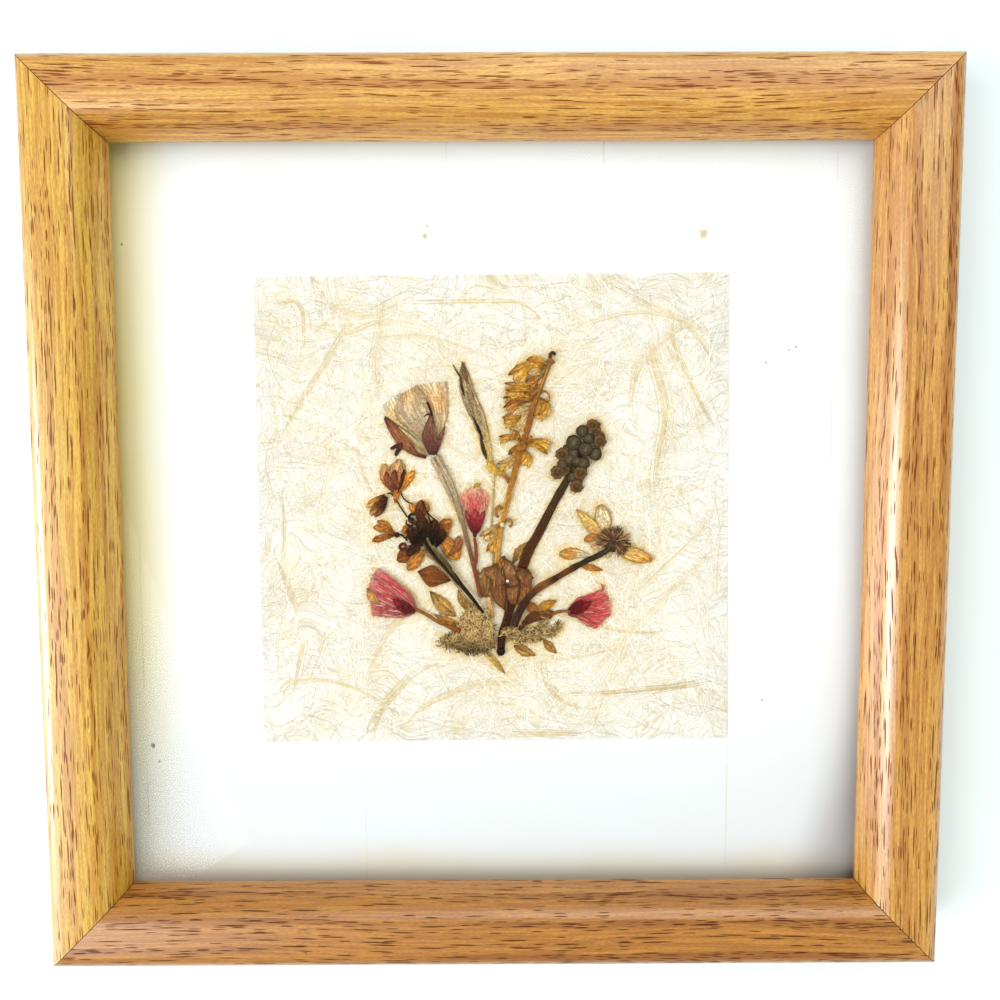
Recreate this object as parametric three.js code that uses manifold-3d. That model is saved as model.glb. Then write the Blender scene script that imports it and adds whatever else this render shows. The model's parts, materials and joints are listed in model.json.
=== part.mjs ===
// Pressed flower frame: a small square oak frame, lying on its back.
// Millimetres, +Z out of the glass, +Y to the top rail, origin under the middle of the back.
// Under the glass, dried flowers lie on a sheet of mulberry paper glued to a white card.
import * as THREE from 'three';
import { mergeVertices } from 'three/addons/utils/BufferGeometryUtils.js';
import Module from 'manifold-3d';

const wasm = await Module();
wasm.setup();
const WELD_DISTANCE = 1e-4;

// Oak moulding, in section
const FRAME_SIDE = 228.6;
const RAIL_WIDTH = 18.6;
const RAIL_DEPTH = 22;
const RABBET_WIDTH = 6.4;
const LIP_UNDERSIDE = 10.8;
const LIP_EDGE = 0.6;
const SHOULDER_RADIUS = 4;
const CROWN_WIDTH = 8.4;
const CROWN_FALL = 1;
const NOSE_HANDLE = 2.6;
const MITRE_GAP = 0.3;

// Flat layers behind the lip, from the glass back to the board
const SHEET_SIDE = 203.2;
const LAYER_CLEARANCE = 0.1;
const GLASS_THICKNESS = 2;
const FLOWER_SPACE = 2.15;
const TISSUE_THICKNESS = 0.15;
const CARD_THICKNESS = 1.2;
const BOARD_THICKNESS = 2.4;

const GLASS_BACK = LIP_UNDERSIDE - LAYER_CLEARANCE - GLASS_THICKNESS;
const TISSUE_FRONT = GLASS_BACK - LAYER_CLEARANCE - FLOWER_SPACE;
const TISSUE_BACK = TISSUE_FRONT - TISSUE_THICKNESS;
const CARD_BACK = TISSUE_BACK - LAYER_CLEARANCE - CARD_THICKNESS;
const BOARD_BACK = CARD_BACK - LAYER_CLEARANCE - BOARD_THICKNESS;

// Framer's points, two to a side, driven into the rabbet wall behind the board
const POINT_WIDTH = 6;
const POINT_LENGTH = 14;
const POINT_TIP = 3;
const POINT_THICKNESS = 0.4;
const POINT_DRIVEN = 5;
const POINT_SPACING = 100;
const SLOT_CLEARANCE = 0.3;

// Triangle hanger riveted to the board: wire ring, doubled strap, two rivets
const HANGER_Y = 52;
const WIRE_RADIUS = 0.5;
const BEND_RADIUS = 0.56;
const RING_WIDTH = 14;
const RING_HEIGHT = 12;
const STRAP_WIDTH = 9;
const STRAP_LENGTH = 20;
const STRAP_METAL = 0.4;
const EYE_CLEARANCE = 0.15;
const RIVET_SPACING = 8;
const RIVET_INSET = 1.4;
const RIVET_RADIUS = 1;
const RIVET_HEAD_RADIUS = 2.1;
const RIVET_HEAD_HEIGHT = 0.9;
const RIVET_DOME_ACROSS = 0.6;
const RIVET_DOME_RISE = 0.8;
const HOLE_CLEARANCE = 0.3;

// Dried flowers: each lies in its own thin layer over the paper
const LAYER_PITCH = 0.26;
const PRESSED_THICKNESS = 0.2;
const BED_CLEARANCE = 0.05;
const FLOWER_BED = TISSUE_FRONT + BED_CLEARANCE;
const MOSS_LAYER = 6;
const MOSS_THICKNESS = 0.42;
const DRIED_ROUGHNESS = 0.85;

// Shares of a leaf's width: half its blunt tip, and what its belly adds to each side
const LEAF_TIP = 0.08;
const LEAF_BELLY = 0.42;
// A pressed bloom from calyx to mouth: share of its length, and of its mouth's width to each side
const BLOOM_FLARE = [[0.55, 0.42], [0.86, 0.5], [1, 0.28]];
const FLORET_FULLNESS = 0.42;

const CURVE_STEPS = 6;
const LEAF_STEPS = 5;
const ROUND_SIDES = 8;
const WIRE_SIDES = 12;

const HALF_SIDE = FRAME_SIDE / 2;
const RABBET_WALL = HALF_SIDE - RAIL_WIDTH + RABBET_WIDTH;

const picture = new THREE.Group();

function finish(color, roughness, metalness = 0) {
  return new THREE.MeshStandardMaterial({ color, roughness, metalness });
}

const oak = finish('#d9a867', 0.42);
const glassFinish = finish('#eef4f1', 0.05);
const cardFinish = finish('#f3efe2', 0.9);
const paperFinish = finish('#efe6c8', 0.95);
const hardboard = finish('#7a5638', 0.8);
const zincPlate = finish('#a9abad', 0.35, 1);

function solidOf(geometry) {
  const bare = geometry.clone();
  bare.deleteAttribute('normal');
  bare.deleteAttribute('uv');
  const welded = mergeVertices(bare, WELD_DISTANCE);
  return new wasm.Manifold(new wasm.Mesh({
    numProp: 3,
    vertProperties: new Float32Array(welded.attributes.position.array),
    triVerts: new Uint32Array(welded.index.array),
  }));
}

function geometryOf(solid) {
  const mesh = solid.getMesh();
  const geometry = new THREE.BufferGeometry();
  geometry.setAttribute('position', new THREE.BufferAttribute(mesh.vertProperties, 3));
  geometry.setIndex(new THREE.BufferAttribute(mesh.triVerts, 1));
  geometry.computeVertexNormals();
  return geometry;
}

function join(geometries) {
  const solids = geometries.map(solidOf);
  return geometryOf(solids.reduce((whole, next) => whole.add(next)));
}

function cut(geometry, cutters) {
  const start = solidOf(geometry);
  return geometryOf(cutters.reduce((rest, cutter) => rest.subtract(solidOf(cutter)), start));
}

function addPiece(name, geometry, material, turn = 0) {
  const mesh = new THREE.Mesh(geometry, material);
  mesh.name = name;
  mesh.rotation.z = turn;
  picture.add(mesh);
}

function slab(width, height, thickness, bottom, x = 0, y = 0) {
  const geometry = new THREE.BoxGeometry(width, height, thickness);
  return geometry.translate(x, y, bottom + thickness / 2);
}

function plate(shape, bottom, thickness) {
  const settings = { depth: thickness, bevelEnabled: false, curveSegments: CURVE_STEPS };
  return new THREE.ExtrudeGeometry(shape, settings).translate(0, 0, bottom);
}

// Moulding section: x runs in from the outer side, y up from the back
function mouldingSection() {
  const crownEnd = SHOULDER_RADIUS + CROWN_WIDTH;
  const section = new THREE.Shape();
  section.moveTo(0, 0);
  section.lineTo(RAIL_WIDTH - RABBET_WIDTH, 0);
  section.lineTo(RAIL_WIDTH - RABBET_WIDTH, LIP_UNDERSIDE);
  section.lineTo(RAIL_WIDTH, LIP_UNDERSIDE);
  section.lineTo(RAIL_WIDTH, LIP_UNDERSIDE + LIP_EDGE);
  section.quadraticCurveTo(
    RAIL_WIDTH - NOSE_HANDLE, RAIL_DEPTH - 2 * CROWN_FALL,
    crownEnd, RAIL_DEPTH - CROWN_FALL,
  );
  section.lineTo(SHOULDER_RADIUS, RAIL_DEPTH);
  section.absarc(SHOULDER_RADIUS, RAIL_DEPTH - SHOULDER_RADIUS, SHOULDER_RADIUS, Math.PI / 2, Math.PI);
  return section;
}

// The bottom rail; every end point is pulled in to the mitre line
function mitredRail() {
  const settings = { depth: 1, bevelEnabled: false, curveSegments: CURVE_STEPS };
  const rail = new THREE.ExtrudeGeometry(mouldingSection(), settings);
  const position = rail.attributes.position;
  for (let i = 0; i < position.count; i += 1) {
    const inward = position.getX(i);
    const height = position.getY(i);
    const halfLength = HALF_SIDE - inward - MITRE_GAP / Math.SQRT2;
    const end = position.getZ(i) > 0.5 ? 1 : -1;
    position.setXYZ(i, end * halfLength, inward - HALF_SIDE, height);
  }
  return rail;
}

function pointSlot(x) {
  const depth = POINT_DRIVEN + SLOT_CLEARANCE;
  const bottom = BOARD_BACK - LAYER_CLEARANCE - POINT_THICKNESS - SLOT_CLEARANCE;
  const height = POINT_THICKNESS + 2 * SLOT_CLEARANCE;
  const y = -RABBET_WALL - depth / 2 + SLOT_CLEARANCE;
  return slab(POINT_WIDTH + 2 * SLOT_CLEARANCE, depth + 2 * SLOT_CLEARANCE, height, bottom, x, y);
}

function framersPoint(x) {
  const tip = -RABBET_WALL - POINT_DRIVEN + SLOT_CLEARANCE;
  const shape = new THREE.Shape();
  shape.moveTo(x, tip);
  shape.lineTo(x + POINT_WIDTH / 2, tip + POINT_TIP);
  shape.lineTo(x + POINT_WIDTH / 2, tip + POINT_LENGTH);
  shape.lineTo(x - POINT_WIDTH / 2, tip + POINT_LENGTH);
  shape.lineTo(x - POINT_WIDTH / 2, tip + POINT_TIP);
  return plate(shape, BOARD_BACK - LAYER_CLEARANCE - POINT_THICKNESS, POINT_THICKNESS);
}

function addFrame() {
  const sides = ['bottom', 'right', 'top', 'left'];
  const pointPlaces = [-POINT_SPACING / 2, POINT_SPACING / 2];
  const rail = cut(mitredRail(), pointPlaces.map(pointSlot));
  sides.forEach((side, quarter) => {
    const turn = quarter * Math.PI / 2;
    addPiece(`rail_${side}`, rail, oak, turn);
    pointPlaces.forEach((x, place) => {
      addPiece(`framers_point_${side}_${place + 1}`, framersPoint(x), zincPlate, turn);
    });
  });
}

// The mulberry paper was cut by hand, so its corners are a little out of square
function tissueShape() {
  const shape = new THREE.Shape();
  shape.moveTo(-61.4, -59.4);
  shape.lineTo(62.4, -58.6);
  shape.lineTo(61.0, 64.1);
  shape.lineTo(-61.6, 63.2);
  return shape;
}

function rivetPlaces() {
  const first = HANGER_Y - STRAP_LENGTH + RIVET_HEAD_RADIUS + RIVET_INSET;
  return [first, first + RIVET_SPACING];
}

function rivetHole(y) {
  const hole = new THREE.CylinderGeometry(
    RIVET_RADIUS + HOLE_CLEARANCE, RIVET_RADIUS + HOLE_CLEARANCE, RAIL_DEPTH, WIRE_SIDES,
  );
  return hole.rotateX(Math.PI / 2).translate(0, y, 0);
}

function addSheets() {
  const glass = slab(SHEET_SIDE, SHEET_SIDE, GLASS_THICKNESS, GLASS_BACK);
  const card = slab(SHEET_SIDE, SHEET_SIDE, CARD_THICKNESS, CARD_BACK);
  const board = slab(SHEET_SIDE, SHEET_SIDE, BOARD_THICKNESS, BOARD_BACK);
  addPiece('glass', glass, glassFinish);
  addPiece('mulberry_paper', plate(tissueShape(), TISSUE_BACK, TISSUE_THICKNESS), paperFinish);
  addPiece('mount_card', card, cardFinish);
  addPiece('backing_board', cut(board, rivetPlaces().map(rivetHole)), hardboard);
}

function wire(from, to) {
  const along = new THREE.Vector3().subVectors(to, from);
  const rod = new THREE.CylinderGeometry(WIRE_RADIUS, WIRE_RADIUS, along.length(), ROUND_SIDES);
  const up = new THREE.Vector3(0, 1, 0);
  rod.applyQuaternion(new THREE.Quaternion().setFromUnitVectors(up, along.clone().normalize()));
  return rod.translate(...from.clone().add(to).multiplyScalar(0.5));
}

function hangerRing(z) {
  const corners = [
    new THREE.Vector3(-RING_WIDTH / 2, HANGER_Y, z),
    new THREE.Vector3(RING_WIDTH / 2, HANGER_Y, z),
    new THREE.Vector3(0, HANGER_Y + RING_HEIGHT, z),
  ];
  const bends = corners.map((corner) => {
    const bend = new THREE.SphereGeometry(BEND_RADIUS, WIRE_SIDES, ROUND_SIDES);
    return bend.translate(...corner);
  });
  const rods = corners.map((corner, i) => wire(corner, corners[(i + 1) % corners.length]));
  return join([...rods, ...bends]);
}

// A strip folded round the ring's bar: an eye, and a doubled tail flat on the board
function hangerStrap(z) {
  const eye = WIRE_RADIUS + EYE_CLEARANCE + STRAP_METAL;
  const eyeBar = new THREE.CylinderGeometry(eye, eye, STRAP_WIDTH, WIRE_SIDES).rotateZ(Math.PI / 2);
  const bore = new THREE.CylinderGeometry(
    WIRE_RADIUS + EYE_CLEARANCE, WIRE_RADIUS + EYE_CLEARANCE, STRAP_WIDTH * 2, WIRE_SIDES,
  ).rotateZ(Math.PI / 2);
  const front = BOARD_BACK - LAYER_CLEARANCE;
  const tail = slab(
    STRAP_WIDTH, STRAP_LENGTH, 2 * STRAP_METAL, front - 2 * STRAP_METAL,
    0, HANGER_Y - STRAP_LENGTH / 2,
  );
  const whole = join([eyeBar.translate(0, HANGER_Y, z), tail]);
  return cut(whole, [bore.translate(0, HANGER_Y, z), ...rivetPlaces().map(rivetHole)]);
}

function rivet(y) {
  const head = BOARD_BACK - LAYER_CLEARANCE - 2 * STRAP_METAL - LAYER_CLEARANCE;
  const top = BOARD_BACK + BOARD_THICKNESS;
  const profile = [
    new THREE.Vector2(0, head - RIVET_HEAD_HEIGHT),
    new THREE.Vector2(RIVET_HEAD_RADIUS * RIVET_DOME_ACROSS, head - RIVET_HEAD_HEIGHT * RIVET_DOME_RISE),
    new THREE.Vector2(RIVET_HEAD_RADIUS, head),
    new THREE.Vector2(RIVET_RADIUS, head),
    new THREE.Vector2(RIVET_RADIUS, top),
    new THREE.Vector2(0, top),
  ];
  return new THREE.LatheGeometry(profile, WIRE_SIDES).rotateX(Math.PI / 2).translate(0, y, 0);
}

function addHanger() {
  const eyeZ = BOARD_BACK - LAYER_CLEARANCE - WIRE_RADIUS - EYE_CLEARANCE - STRAP_METAL;
  addPiece('hanger_strap', hangerStrap(eyeZ), zincPlate);
  addPiece('hanger_ring', hangerRing(eyeZ), zincPlate);
  rivetPlaces().forEach((y, place) => {
    addPiece(`hanger_rivet_${place + 1}`, rivet(y), zincPlate);
  });
}

// A leaf or petal: from its base point, along its heading in degrees, widest at its belly
function leaf(x, y, heading, length, width, belly = 0.5) {
  const turn = THREE.MathUtils.degToRad(heading);
  const skew = Math.log(0.5) / Math.log(belly);
  const left = [];
  const right = [];
  for (let i = 0; i <= LEAF_STEPS; i += 1) {
    const along = i / LEAF_STEPS;
    const half = width * (LEAF_TIP + LEAF_BELLY * Math.sin(Math.PI * along ** skew));
    const px = x + Math.cos(turn) * along * length;
    const py = y + Math.sin(turn) * along * length;
    left.push(new THREE.Vector2(px - Math.sin(turn) * half, py + Math.cos(turn) * half));
    right.push(new THREE.Vector2(px + Math.sin(turn) * half, py - Math.cos(turn) * half));
  }
  return new THREE.Shape([...right, ...left.reverse()]);
}

// A pressed stem: a ribbon along a smooth line, from one width to another
function stem(places, startWidth, endWidth = startWidth) {
  const line = new THREE.SplineCurve(places.map(([x, y]) => new THREE.Vector2(x, y)));
  const steps = places.length * 2;
  const left = [];
  const right = [];
  for (let i = 0; i <= steps; i += 1) {
    const along = i / steps;
    const half = THREE.MathUtils.lerp(startWidth, endWidth, along) / 2;
    const centre = line.getPoint(along);
    const side = line.getTangent(along).rotateAround(new THREE.Vector2(), Math.PI / 2);
    left.push(centre.clone().addScaledVector(side, half));
    right.push(centre.clone().addScaledVector(side, -half));
  }
  return new THREE.Shape([...right, ...left.reverse()]);
}

// A flower pressed in profile: narrow calyx at the base, spreading to a round mouth
function fan(x, y, heading, length, calyxWidth, mouthWidth) {
  const turn = THREE.MathUtils.degToRad(heading);
  const flare = BLOOM_FLARE.map(([along, share]) => [along, share * mouthWidth]);
  const side = [[0, calyxWidth / 2], ...flare];
  const otherSide = side.map(([along, across]) => [along, -across]);
  const places = [...otherSide, ...side.reverse()].map(([along, across]) => new THREE.Vector2(
    x + Math.cos(turn) * along * length - Math.sin(turn) * across,
    y + Math.sin(turn) * along * length + Math.cos(turn) * across,
  ));
  return new THREE.Shape(places);
}

function bead(x, y, radius) {
  const points = [];
  for (let i = 0; i < ROUND_SIDES; i += 1) {
    const turn = i * 2 * Math.PI / ROUND_SIDES;
    points.push(new THREE.Vector2(x + Math.cos(turn) * radius, y + Math.sin(turn) * radius));
  }
  return new THREE.Shape(points);
}

function outline(places) {
  return new THREE.Shape(places.map(([x, y]) => new THREE.Vector2(x, y)));
}

// One dried specimen: flat shapes that grew together, in one layer
function addSpecimen(name, layer, color, shapes, thickness = PRESSED_THICKNESS) {
  const bottom = FLOWER_BED + layer * LAYER_PITCH;
  const plates = shapes.map((shape) => plate(shape, bottom, thickness));
  addPiece(name, join(plates), finish(color, DRIED_ROUGHNESS));
}

function addLooseLeaves() {
  addSpecimen('forked_leaf', 0, '#8a5a34', [
    leaf(-3.6, -19.2, 94, 6.6, 1.6, 0.6), leaf(-3.6, -19.2, 62, 9, 1.8, 0.6),
  ]);
  addSpecimen('golden_leaf', 0, '#b07a33', [leaf(5.5, -11.2, 52, 7.2, 2.4, 0.5)]);
  addSpecimen('pale_stalk', 0, '#d8b98a', [stem([[-1.4, -19.6], [-0.9, -22.5], [-0.2, -25.6]], 1.1)]);
  addSpecimen('straw_blade', 0, '#c99a45', [leaf(-1.8, -34.6, 306, 7.4, 1.3, 0.4)]);
  addSpecimen('loose_petal_1', 0, '#c9a253', [leaf(24.5, -10.3, 162, 7.2, 2.6, 0.6)]);
  addSpecimen('loose_petal_2', 0, '#a97431', [leaf(28.4, -13.1, 172, 5.2, 1.3, 0.5)]);
  addSpecimen('side_leaf_1', 0, '#a9793c', [leaf(-9.4, -26, 137, 10.2, 3.4, 0.55)]);
  addSpecimen('side_leaf_2', 0, '#a9793c', [leaf(-8.9, -23.2, 104, 4.8, 1.6, 0.6)]);
  addSpecimen('side_leaf_3', 0, '#a9793c', [leaf(-6.2, -24.6, 118, 4.2, 2, 0.6)]);
  addSpecimen('lower_leaf_1', 0, '#b98637', [leaf(5.6, -33.4, 335, 6, 2.2, 0.5)]);
  addSpecimen('lower_leaf_2', 0, '#b98637', [leaf(13.2, -31.8, 308, 5, 1.9, 0.5)]);
}

function addBellFlower() {
  addSpecimen('bell_flower', 1, '#b8a27c', [
    outline([
      [-11.7, 36.5], [-19.7, 35.2], [-23.4, 33], [-28.2, 30.3], [-27.8, 26.9], [-26.1, 21.7],
      [-21.4, 18.3], [-16.8, 16.5], [-14.1, 18.3], [-12.5, 24.3], [-11.4, 28],
    ]),
    leaf(-25.4, 21.6, 250, 4.4, 1.2, 0.5),
    stem([[-14.6, 18], [-9.6, 4.1], [-8.5, -0.4], [-5.6, -9.7], [-3.6, -19.8]], 2.2, 1),
  ]);
}

function addGrassSpike() {
  addSpecimen('grass_spike', 1, '#9a8a66', [
    leaf(-0.6, 15.2, 106, 26.8, 3.4, 0.5),
    leaf(-7.6, 37.6, 128, 3.8, 0.9, 0.5),
    leaf(0.3, 13.8, 330, 4.4, 1.6, 0.5),
    leaf(2.2, 12.9, 58, 7, 1.3, 0.4),
    stem([[-0.8, 15.8], [0.3, 13.6], [-0.3, 3], [-0.8, -5.4], [-0.4, -9]], 1.2, 0.8),
  ]);
}

function addGoldenRaceme() {
  const leftFlorets = [
    [12.6, 36.4, 150, 6.4], [11.6, 33.4, 168, 7.4], [10.4, 29, 188, 7], [8.8, 22.8, 170, 4.6],
  ];
  const rightFlorets = [[9.6, 27.6, 55, 6.4], [8, 20.4, 340, 5.2], [7.4, 19, 300, 4.4]];
  const lowerCurls = [
    [4.9, 8.6, 200, 3.6], [3.4, 1.6, 350, 3], [2.4, -0.4, 196, 3.4], [3.4, 4.4, 130, 3.2],
  ];
  const florets = [...leftFlorets, ...rightFlorets, ...lowerCurls];
  addSpecimen('golden_raceme', 3, '#b57a33', [
    stem([[15.3, 42.2], [12.1, 34.3], [9.2, 24.5], [5.2, 11.2], [1.8, -2.8], [0.9, -9.6]], 1.3, 1.5),
    bead(15.6, 42.6, 1.1),
    ...florets.map(([x, y, heading, length]) => leaf(x, y, heading, length, FLORET_FULLNESS * length, 0.6)),
  ]);
}

function addGrapeHyacinth() {
  const bells = [
    [25.9, 25, 1.5], [23.2, 23.4, 1.5], [21.1, 20.5, 2], [27.4, 21.6, 1.7], [24.1, 18.8, 1.9],
    [26.7, 17.4, 1.7], [20.6, 17.2, 1.9], [17.8, 16.4, 1.6], [17.6, 13, 1.9], [23, 14.2, 1.8],
    [21.2, 10.2, 1.9],
  ];
  addSpecimen('grape_hyacinth', 1, '#453f33', [
    leaf(19.4, 10.6, 64, 16, 8, 0.55),
    stem([
      [22, 17], [19.4, 11], [16.5, 5.6], [11.5, -4.1], [7.6, -13], [4.4, -21.7], [1.6, -34.6],
    ], 1.8, 3),
    ...bells.map(([x, y, radius]) => bead(x, y, radius)),
  ]);
}

function addBrownLeafCluster() {
  addSpecimen('brown_leaf_cluster', 2, '#7d5230', [
    leaf(9.4, -14.4, 152, 10, 4.6, 0.5),
    leaf(9.6, -20, 112, 7, 4.6, 0.5),
    leaf(1.2, -24, 76, 12.6, 5, 0.6),
    leaf(8.4, -21.4, 140, 9, 3.6, 0.5),
  ]);
}

function addPinkBud() {
  addSpecimen('pink_bud', 3, '#c0455a', [
    fan(-5.3, -3.2, 95, 11.6, 1.4, 7.4),
    stem([[-5.3, -2.8], [-4.5, -7.3], [-5.1, -11], [-3.8, -16.3], [-3.6, -19.8]], 0.9),
  ]);
}

function addSeedPods() {
  addSpecimen('seed_pods', 3, '#8c5b33', [
    leaf(-27.2, 6.8, 218, 7, 3.4, 0.5),
    leaf(-25.2, -3.9, 170, 6.4, 2.9, 0.7),
    fan(-25.3, 6.6, 97, 9, 1.6, 8),
    stem([[-27.5, 7], [-25.2, 6.2], [-21.9, 1.4]], 0.7),
    stem([[-25, 9], [-23.9, 7.2], [-20.6, 4.2]], 0.7),
    stem([[-25.4, -3.8], [-22.6, -3.4], [-20.4, -2]], 0.7),
    stem([[-21.9, 1.6], [-20.8, 0.2], [-20.2, -2.4]], 0.9),
  ]);
}

function addBrownSpray() {
  addSpecimen('brown_spray', 4, '#4c3527', [
    stem([[-21, 3.6], [-19.3, -3.5], [-10.9, -12.8], [-4.1, -21.7], [-2.5, -24.6]], 2.6, 1.2),
    leaf(-19.4, -3.8, 224, 9.6, 5.2, 0.6),
    leaf(-9.6, -15, 167, 10, 4.2, 0.6),
    leaf(-17.4, -4.6, 32, 8, 5, 0.6),
    leaf(-15.6, -8, 358, 8, 6, 0.6),
    leaf(-20, -1.6, 100, 7, 4.4, 0.4),
    leaf(-19.4, -4, 174, 4.6, 3.2, 0.5),
  ]);
}

function addDaisy() {
  addSpecimen('daisy', 4, '#7d6a45', [
    bead(32, -3.6, 3.2),
    leaf(30.4, -5, 137, 10.6, 2.6, 0.6),
    leaf(31, -3.4, 112, 8.2, 4, 0.6),
    leaf(30.6, -4.4, 190, 6.4, 2, 0.5),
    leaf(33, -5.2, 328, 10.2, 3.6, 0.6),
    stem([[31, -6.6], [22.1, -11.9], [15.2, -16.1], [9.1, -20.4], [5.2, -27.4]], 1.7, 2),
  ]);
}

function addPinkFlowers() {
  addSpecimen('pink_flower_right', 5, '#bc3a52', [
    fan(18.8, -24.3, 6, 12, 1.4, 8.4),
    stem([[19.4, -24.3], [15.8, -24.7], [11, -27.1], [7.5, -28.9]], 0.9, 1.4),
    leaf(17.4, -24.8, 196, 8.6, 2.4, 0.6),
    leaf(10.4, -26.9, 42, 8, 1.9, 0.6),
    leaf(9.2, -27.4, 98, 4.6, 2.2, 0.5),
  ]);
  addSpecimen('pink_flower_left', 5, '#cc3f5c', [
    fan(-20.2, -22.8, 160, 13.4, 1.8, 10.6),
    stem([[-20.4, -23.2], [-16, -25.9], [-10.2, -28.6]], 1.2),
  ]);
}

function addMoss() {
  const tuft = outline([
    [-14, -32.4], [-10.8, -29.4], [-8.9, -26.8], [-7.6, -24.1], [-5.2, -22.2], [-2.5, -24.1],
    [-0.8, -26.2], [-0.4, -29], [-0.8, -33.8], [-3.4, -35.1], [-7.6, -35.1], [-11.1, -33.8],
  ]);
  addSpecimen('moss_tuft', MOSS_LAYER, '#a48a58', [tuft], MOSS_THICKNESS);
  addSpecimen('moss_sprig', MOSS_LAYER, '#8d7a48', [
    stem([[2.4, -29], [9, -29.8], [13, -29.4], [18, -27.6]], 2.6, 1.6),
    leaf(4, -29, 120, 4, 2, 0.5),
    leaf(9.6, -29.6, 62, 5, 1.6, 0.5),
    leaf(12.6, -29.6, 300, 3, 1.4, 0.5),
  ], MOSS_THICKNESS);
}

addFrame();
addSheets();
addHanger();
addLooseLeaves();
addBellFlower();
addGrassSpike();
addGoldenRaceme();
addGrapeHyacinth();
addBrownLeafCluster();
addPinkBud();
addSeedPods();
addBrownSpray();
addDaisy();
addPinkFlowers();
addMoss();

export default picture;
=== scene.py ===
import json
import math

import bpy
import numpy as np
from mathutils import Matrix, Vector
from mathutils.kdtree import KDTree

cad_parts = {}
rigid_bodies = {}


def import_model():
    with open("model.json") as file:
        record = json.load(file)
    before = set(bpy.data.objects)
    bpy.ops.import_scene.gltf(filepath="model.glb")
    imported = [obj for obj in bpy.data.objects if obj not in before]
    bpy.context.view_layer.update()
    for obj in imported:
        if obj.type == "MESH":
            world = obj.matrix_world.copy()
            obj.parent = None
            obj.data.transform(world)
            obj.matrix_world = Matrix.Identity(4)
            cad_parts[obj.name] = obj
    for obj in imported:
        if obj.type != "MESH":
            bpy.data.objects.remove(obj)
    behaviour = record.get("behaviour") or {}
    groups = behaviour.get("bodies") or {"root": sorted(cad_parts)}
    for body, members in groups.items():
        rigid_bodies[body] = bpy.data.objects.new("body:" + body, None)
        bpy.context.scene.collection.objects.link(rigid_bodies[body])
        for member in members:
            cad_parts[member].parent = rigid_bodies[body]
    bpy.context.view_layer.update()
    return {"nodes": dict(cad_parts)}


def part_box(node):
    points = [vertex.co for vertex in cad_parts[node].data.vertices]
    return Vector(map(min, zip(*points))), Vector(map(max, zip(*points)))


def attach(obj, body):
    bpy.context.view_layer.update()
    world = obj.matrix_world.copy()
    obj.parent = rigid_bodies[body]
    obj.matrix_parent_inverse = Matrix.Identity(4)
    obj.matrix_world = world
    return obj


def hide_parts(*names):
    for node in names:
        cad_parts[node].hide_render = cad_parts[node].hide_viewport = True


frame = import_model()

mm = 0.001


# ---------------------------------------------------------------- camera
# It hangs a quarter of a metre over the picture, a little towards the top rail,
# and looks almost straight down at the frame lying on its back.
EYE = (1.2 * mm, 25.3 * mm, 252.5 * mm)
TILT = (-4.62, -0.16, -0.19)
LENS = 33.87

bpy.ops.object.camera_add(location=EYE, rotation=[math.radians(angle) for angle in TILT])
camera = bpy.context.object
camera.data.lens = LENS
camera.data.sensor_width = 36
camera.data.clip_start = 0.01
bpy.context.scene.camera = camera


# ---------------------------------------------------------------- mount card
# A square of four-ply museum board, cut to the glass size. The paper and flowers are glued
# to its face; the lip of the frame hides its edges. Its edges are painted yellower and greyer, partly toning
# and partly painted shade and painted bounce light from the rails.
CARD_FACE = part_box("mount_card")[1].z
MIX = {"data_type": "RGBA", "clamp_factor": True}
SMOOTH = {"interpolation_type": "SMOOTHSTEP"}
ADD = {"operation": "ADD"}
LESS = {"operation": "SUBTRACT"}
TIMES = {"operation": "MULTIPLY"}
ABSOLUTE = {"operation": "ABSOLUTE"}


def srgb(code):
    """A linear color from an sRGB hex code."""
    parts = [int(code[i : i + 2], 16) / 255 for i in (1, 3, 5)]
    return [p / 12.92 if p <= 0.04045 else ((p + 0.055) / 1.055) ** 2.4 for p in parts] + [1]


def fill(material, target, inputs):
    for key, value in inputs.items():
        if isinstance(value, bpy.types.NodeSocket):
            material.node_tree.links.new(value, target.inputs[key])
        else:
            target.inputs[key].default_value = value


def node(material, kind, settings, inputs, out=0):
    """Adds a node with its settings and its inputs, linked or set, and gives one output."""
    made = material.node_tree.nodes.new("ShaderNode" + kind)
    for name, value in settings.items():
        setattr(made, name, value)
    fill(material, made, inputs)
    return made.outputs[out]


def new_material(name, inputs):
    made = bpy.data.materials.new(name)
    made.use_nodes = True
    fill(made, made.node_tree.nodes["Principled BSDF"], inputs)
    return made


def finish_surface(material, inputs):
    fill(material, material.node_tree.nodes["Principled BSDF"], inputs)


def surface_of(name, material):
    """Gives a piece kept as it was drawn its material."""
    slots = frame["nodes"][name].data.materials
    slots.clear()
    slots.append(material)


# Museum board: soft uncoated paper face, so it has no gloss and a faint felt texture. It has
# toned a little at its edges; over that its left edge is painted yellow as painted warm bounce light, its
# lower half, foot and right edge are greyer as painted shade, and its lower right corner holds a painted
# shadow. It has foxed spots, specks of dust and faint ruled lines.
board = new_material("museum board, off-white", {"Roughness": 0.92, "Specular IOR Level": 0.2})
here = node(board, "TexCoord", {}, {}, out=3)
felt = node(board, "TexNoise", {}, {"Vector": here, "Scale": 1 / (0.9 * mm), "Detail": 6, "Roughness": 0.65})
cloud = node(board, "TexNoise", {}, {"Vector": here, "Scale": 1 / (45 * mm), "Detail": 3})
x_place = node(board, "SeparateXYZ", {}, {0: here})
y_place = node(board, "SeparateXYZ", {}, {0: here}, out=1)
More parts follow.
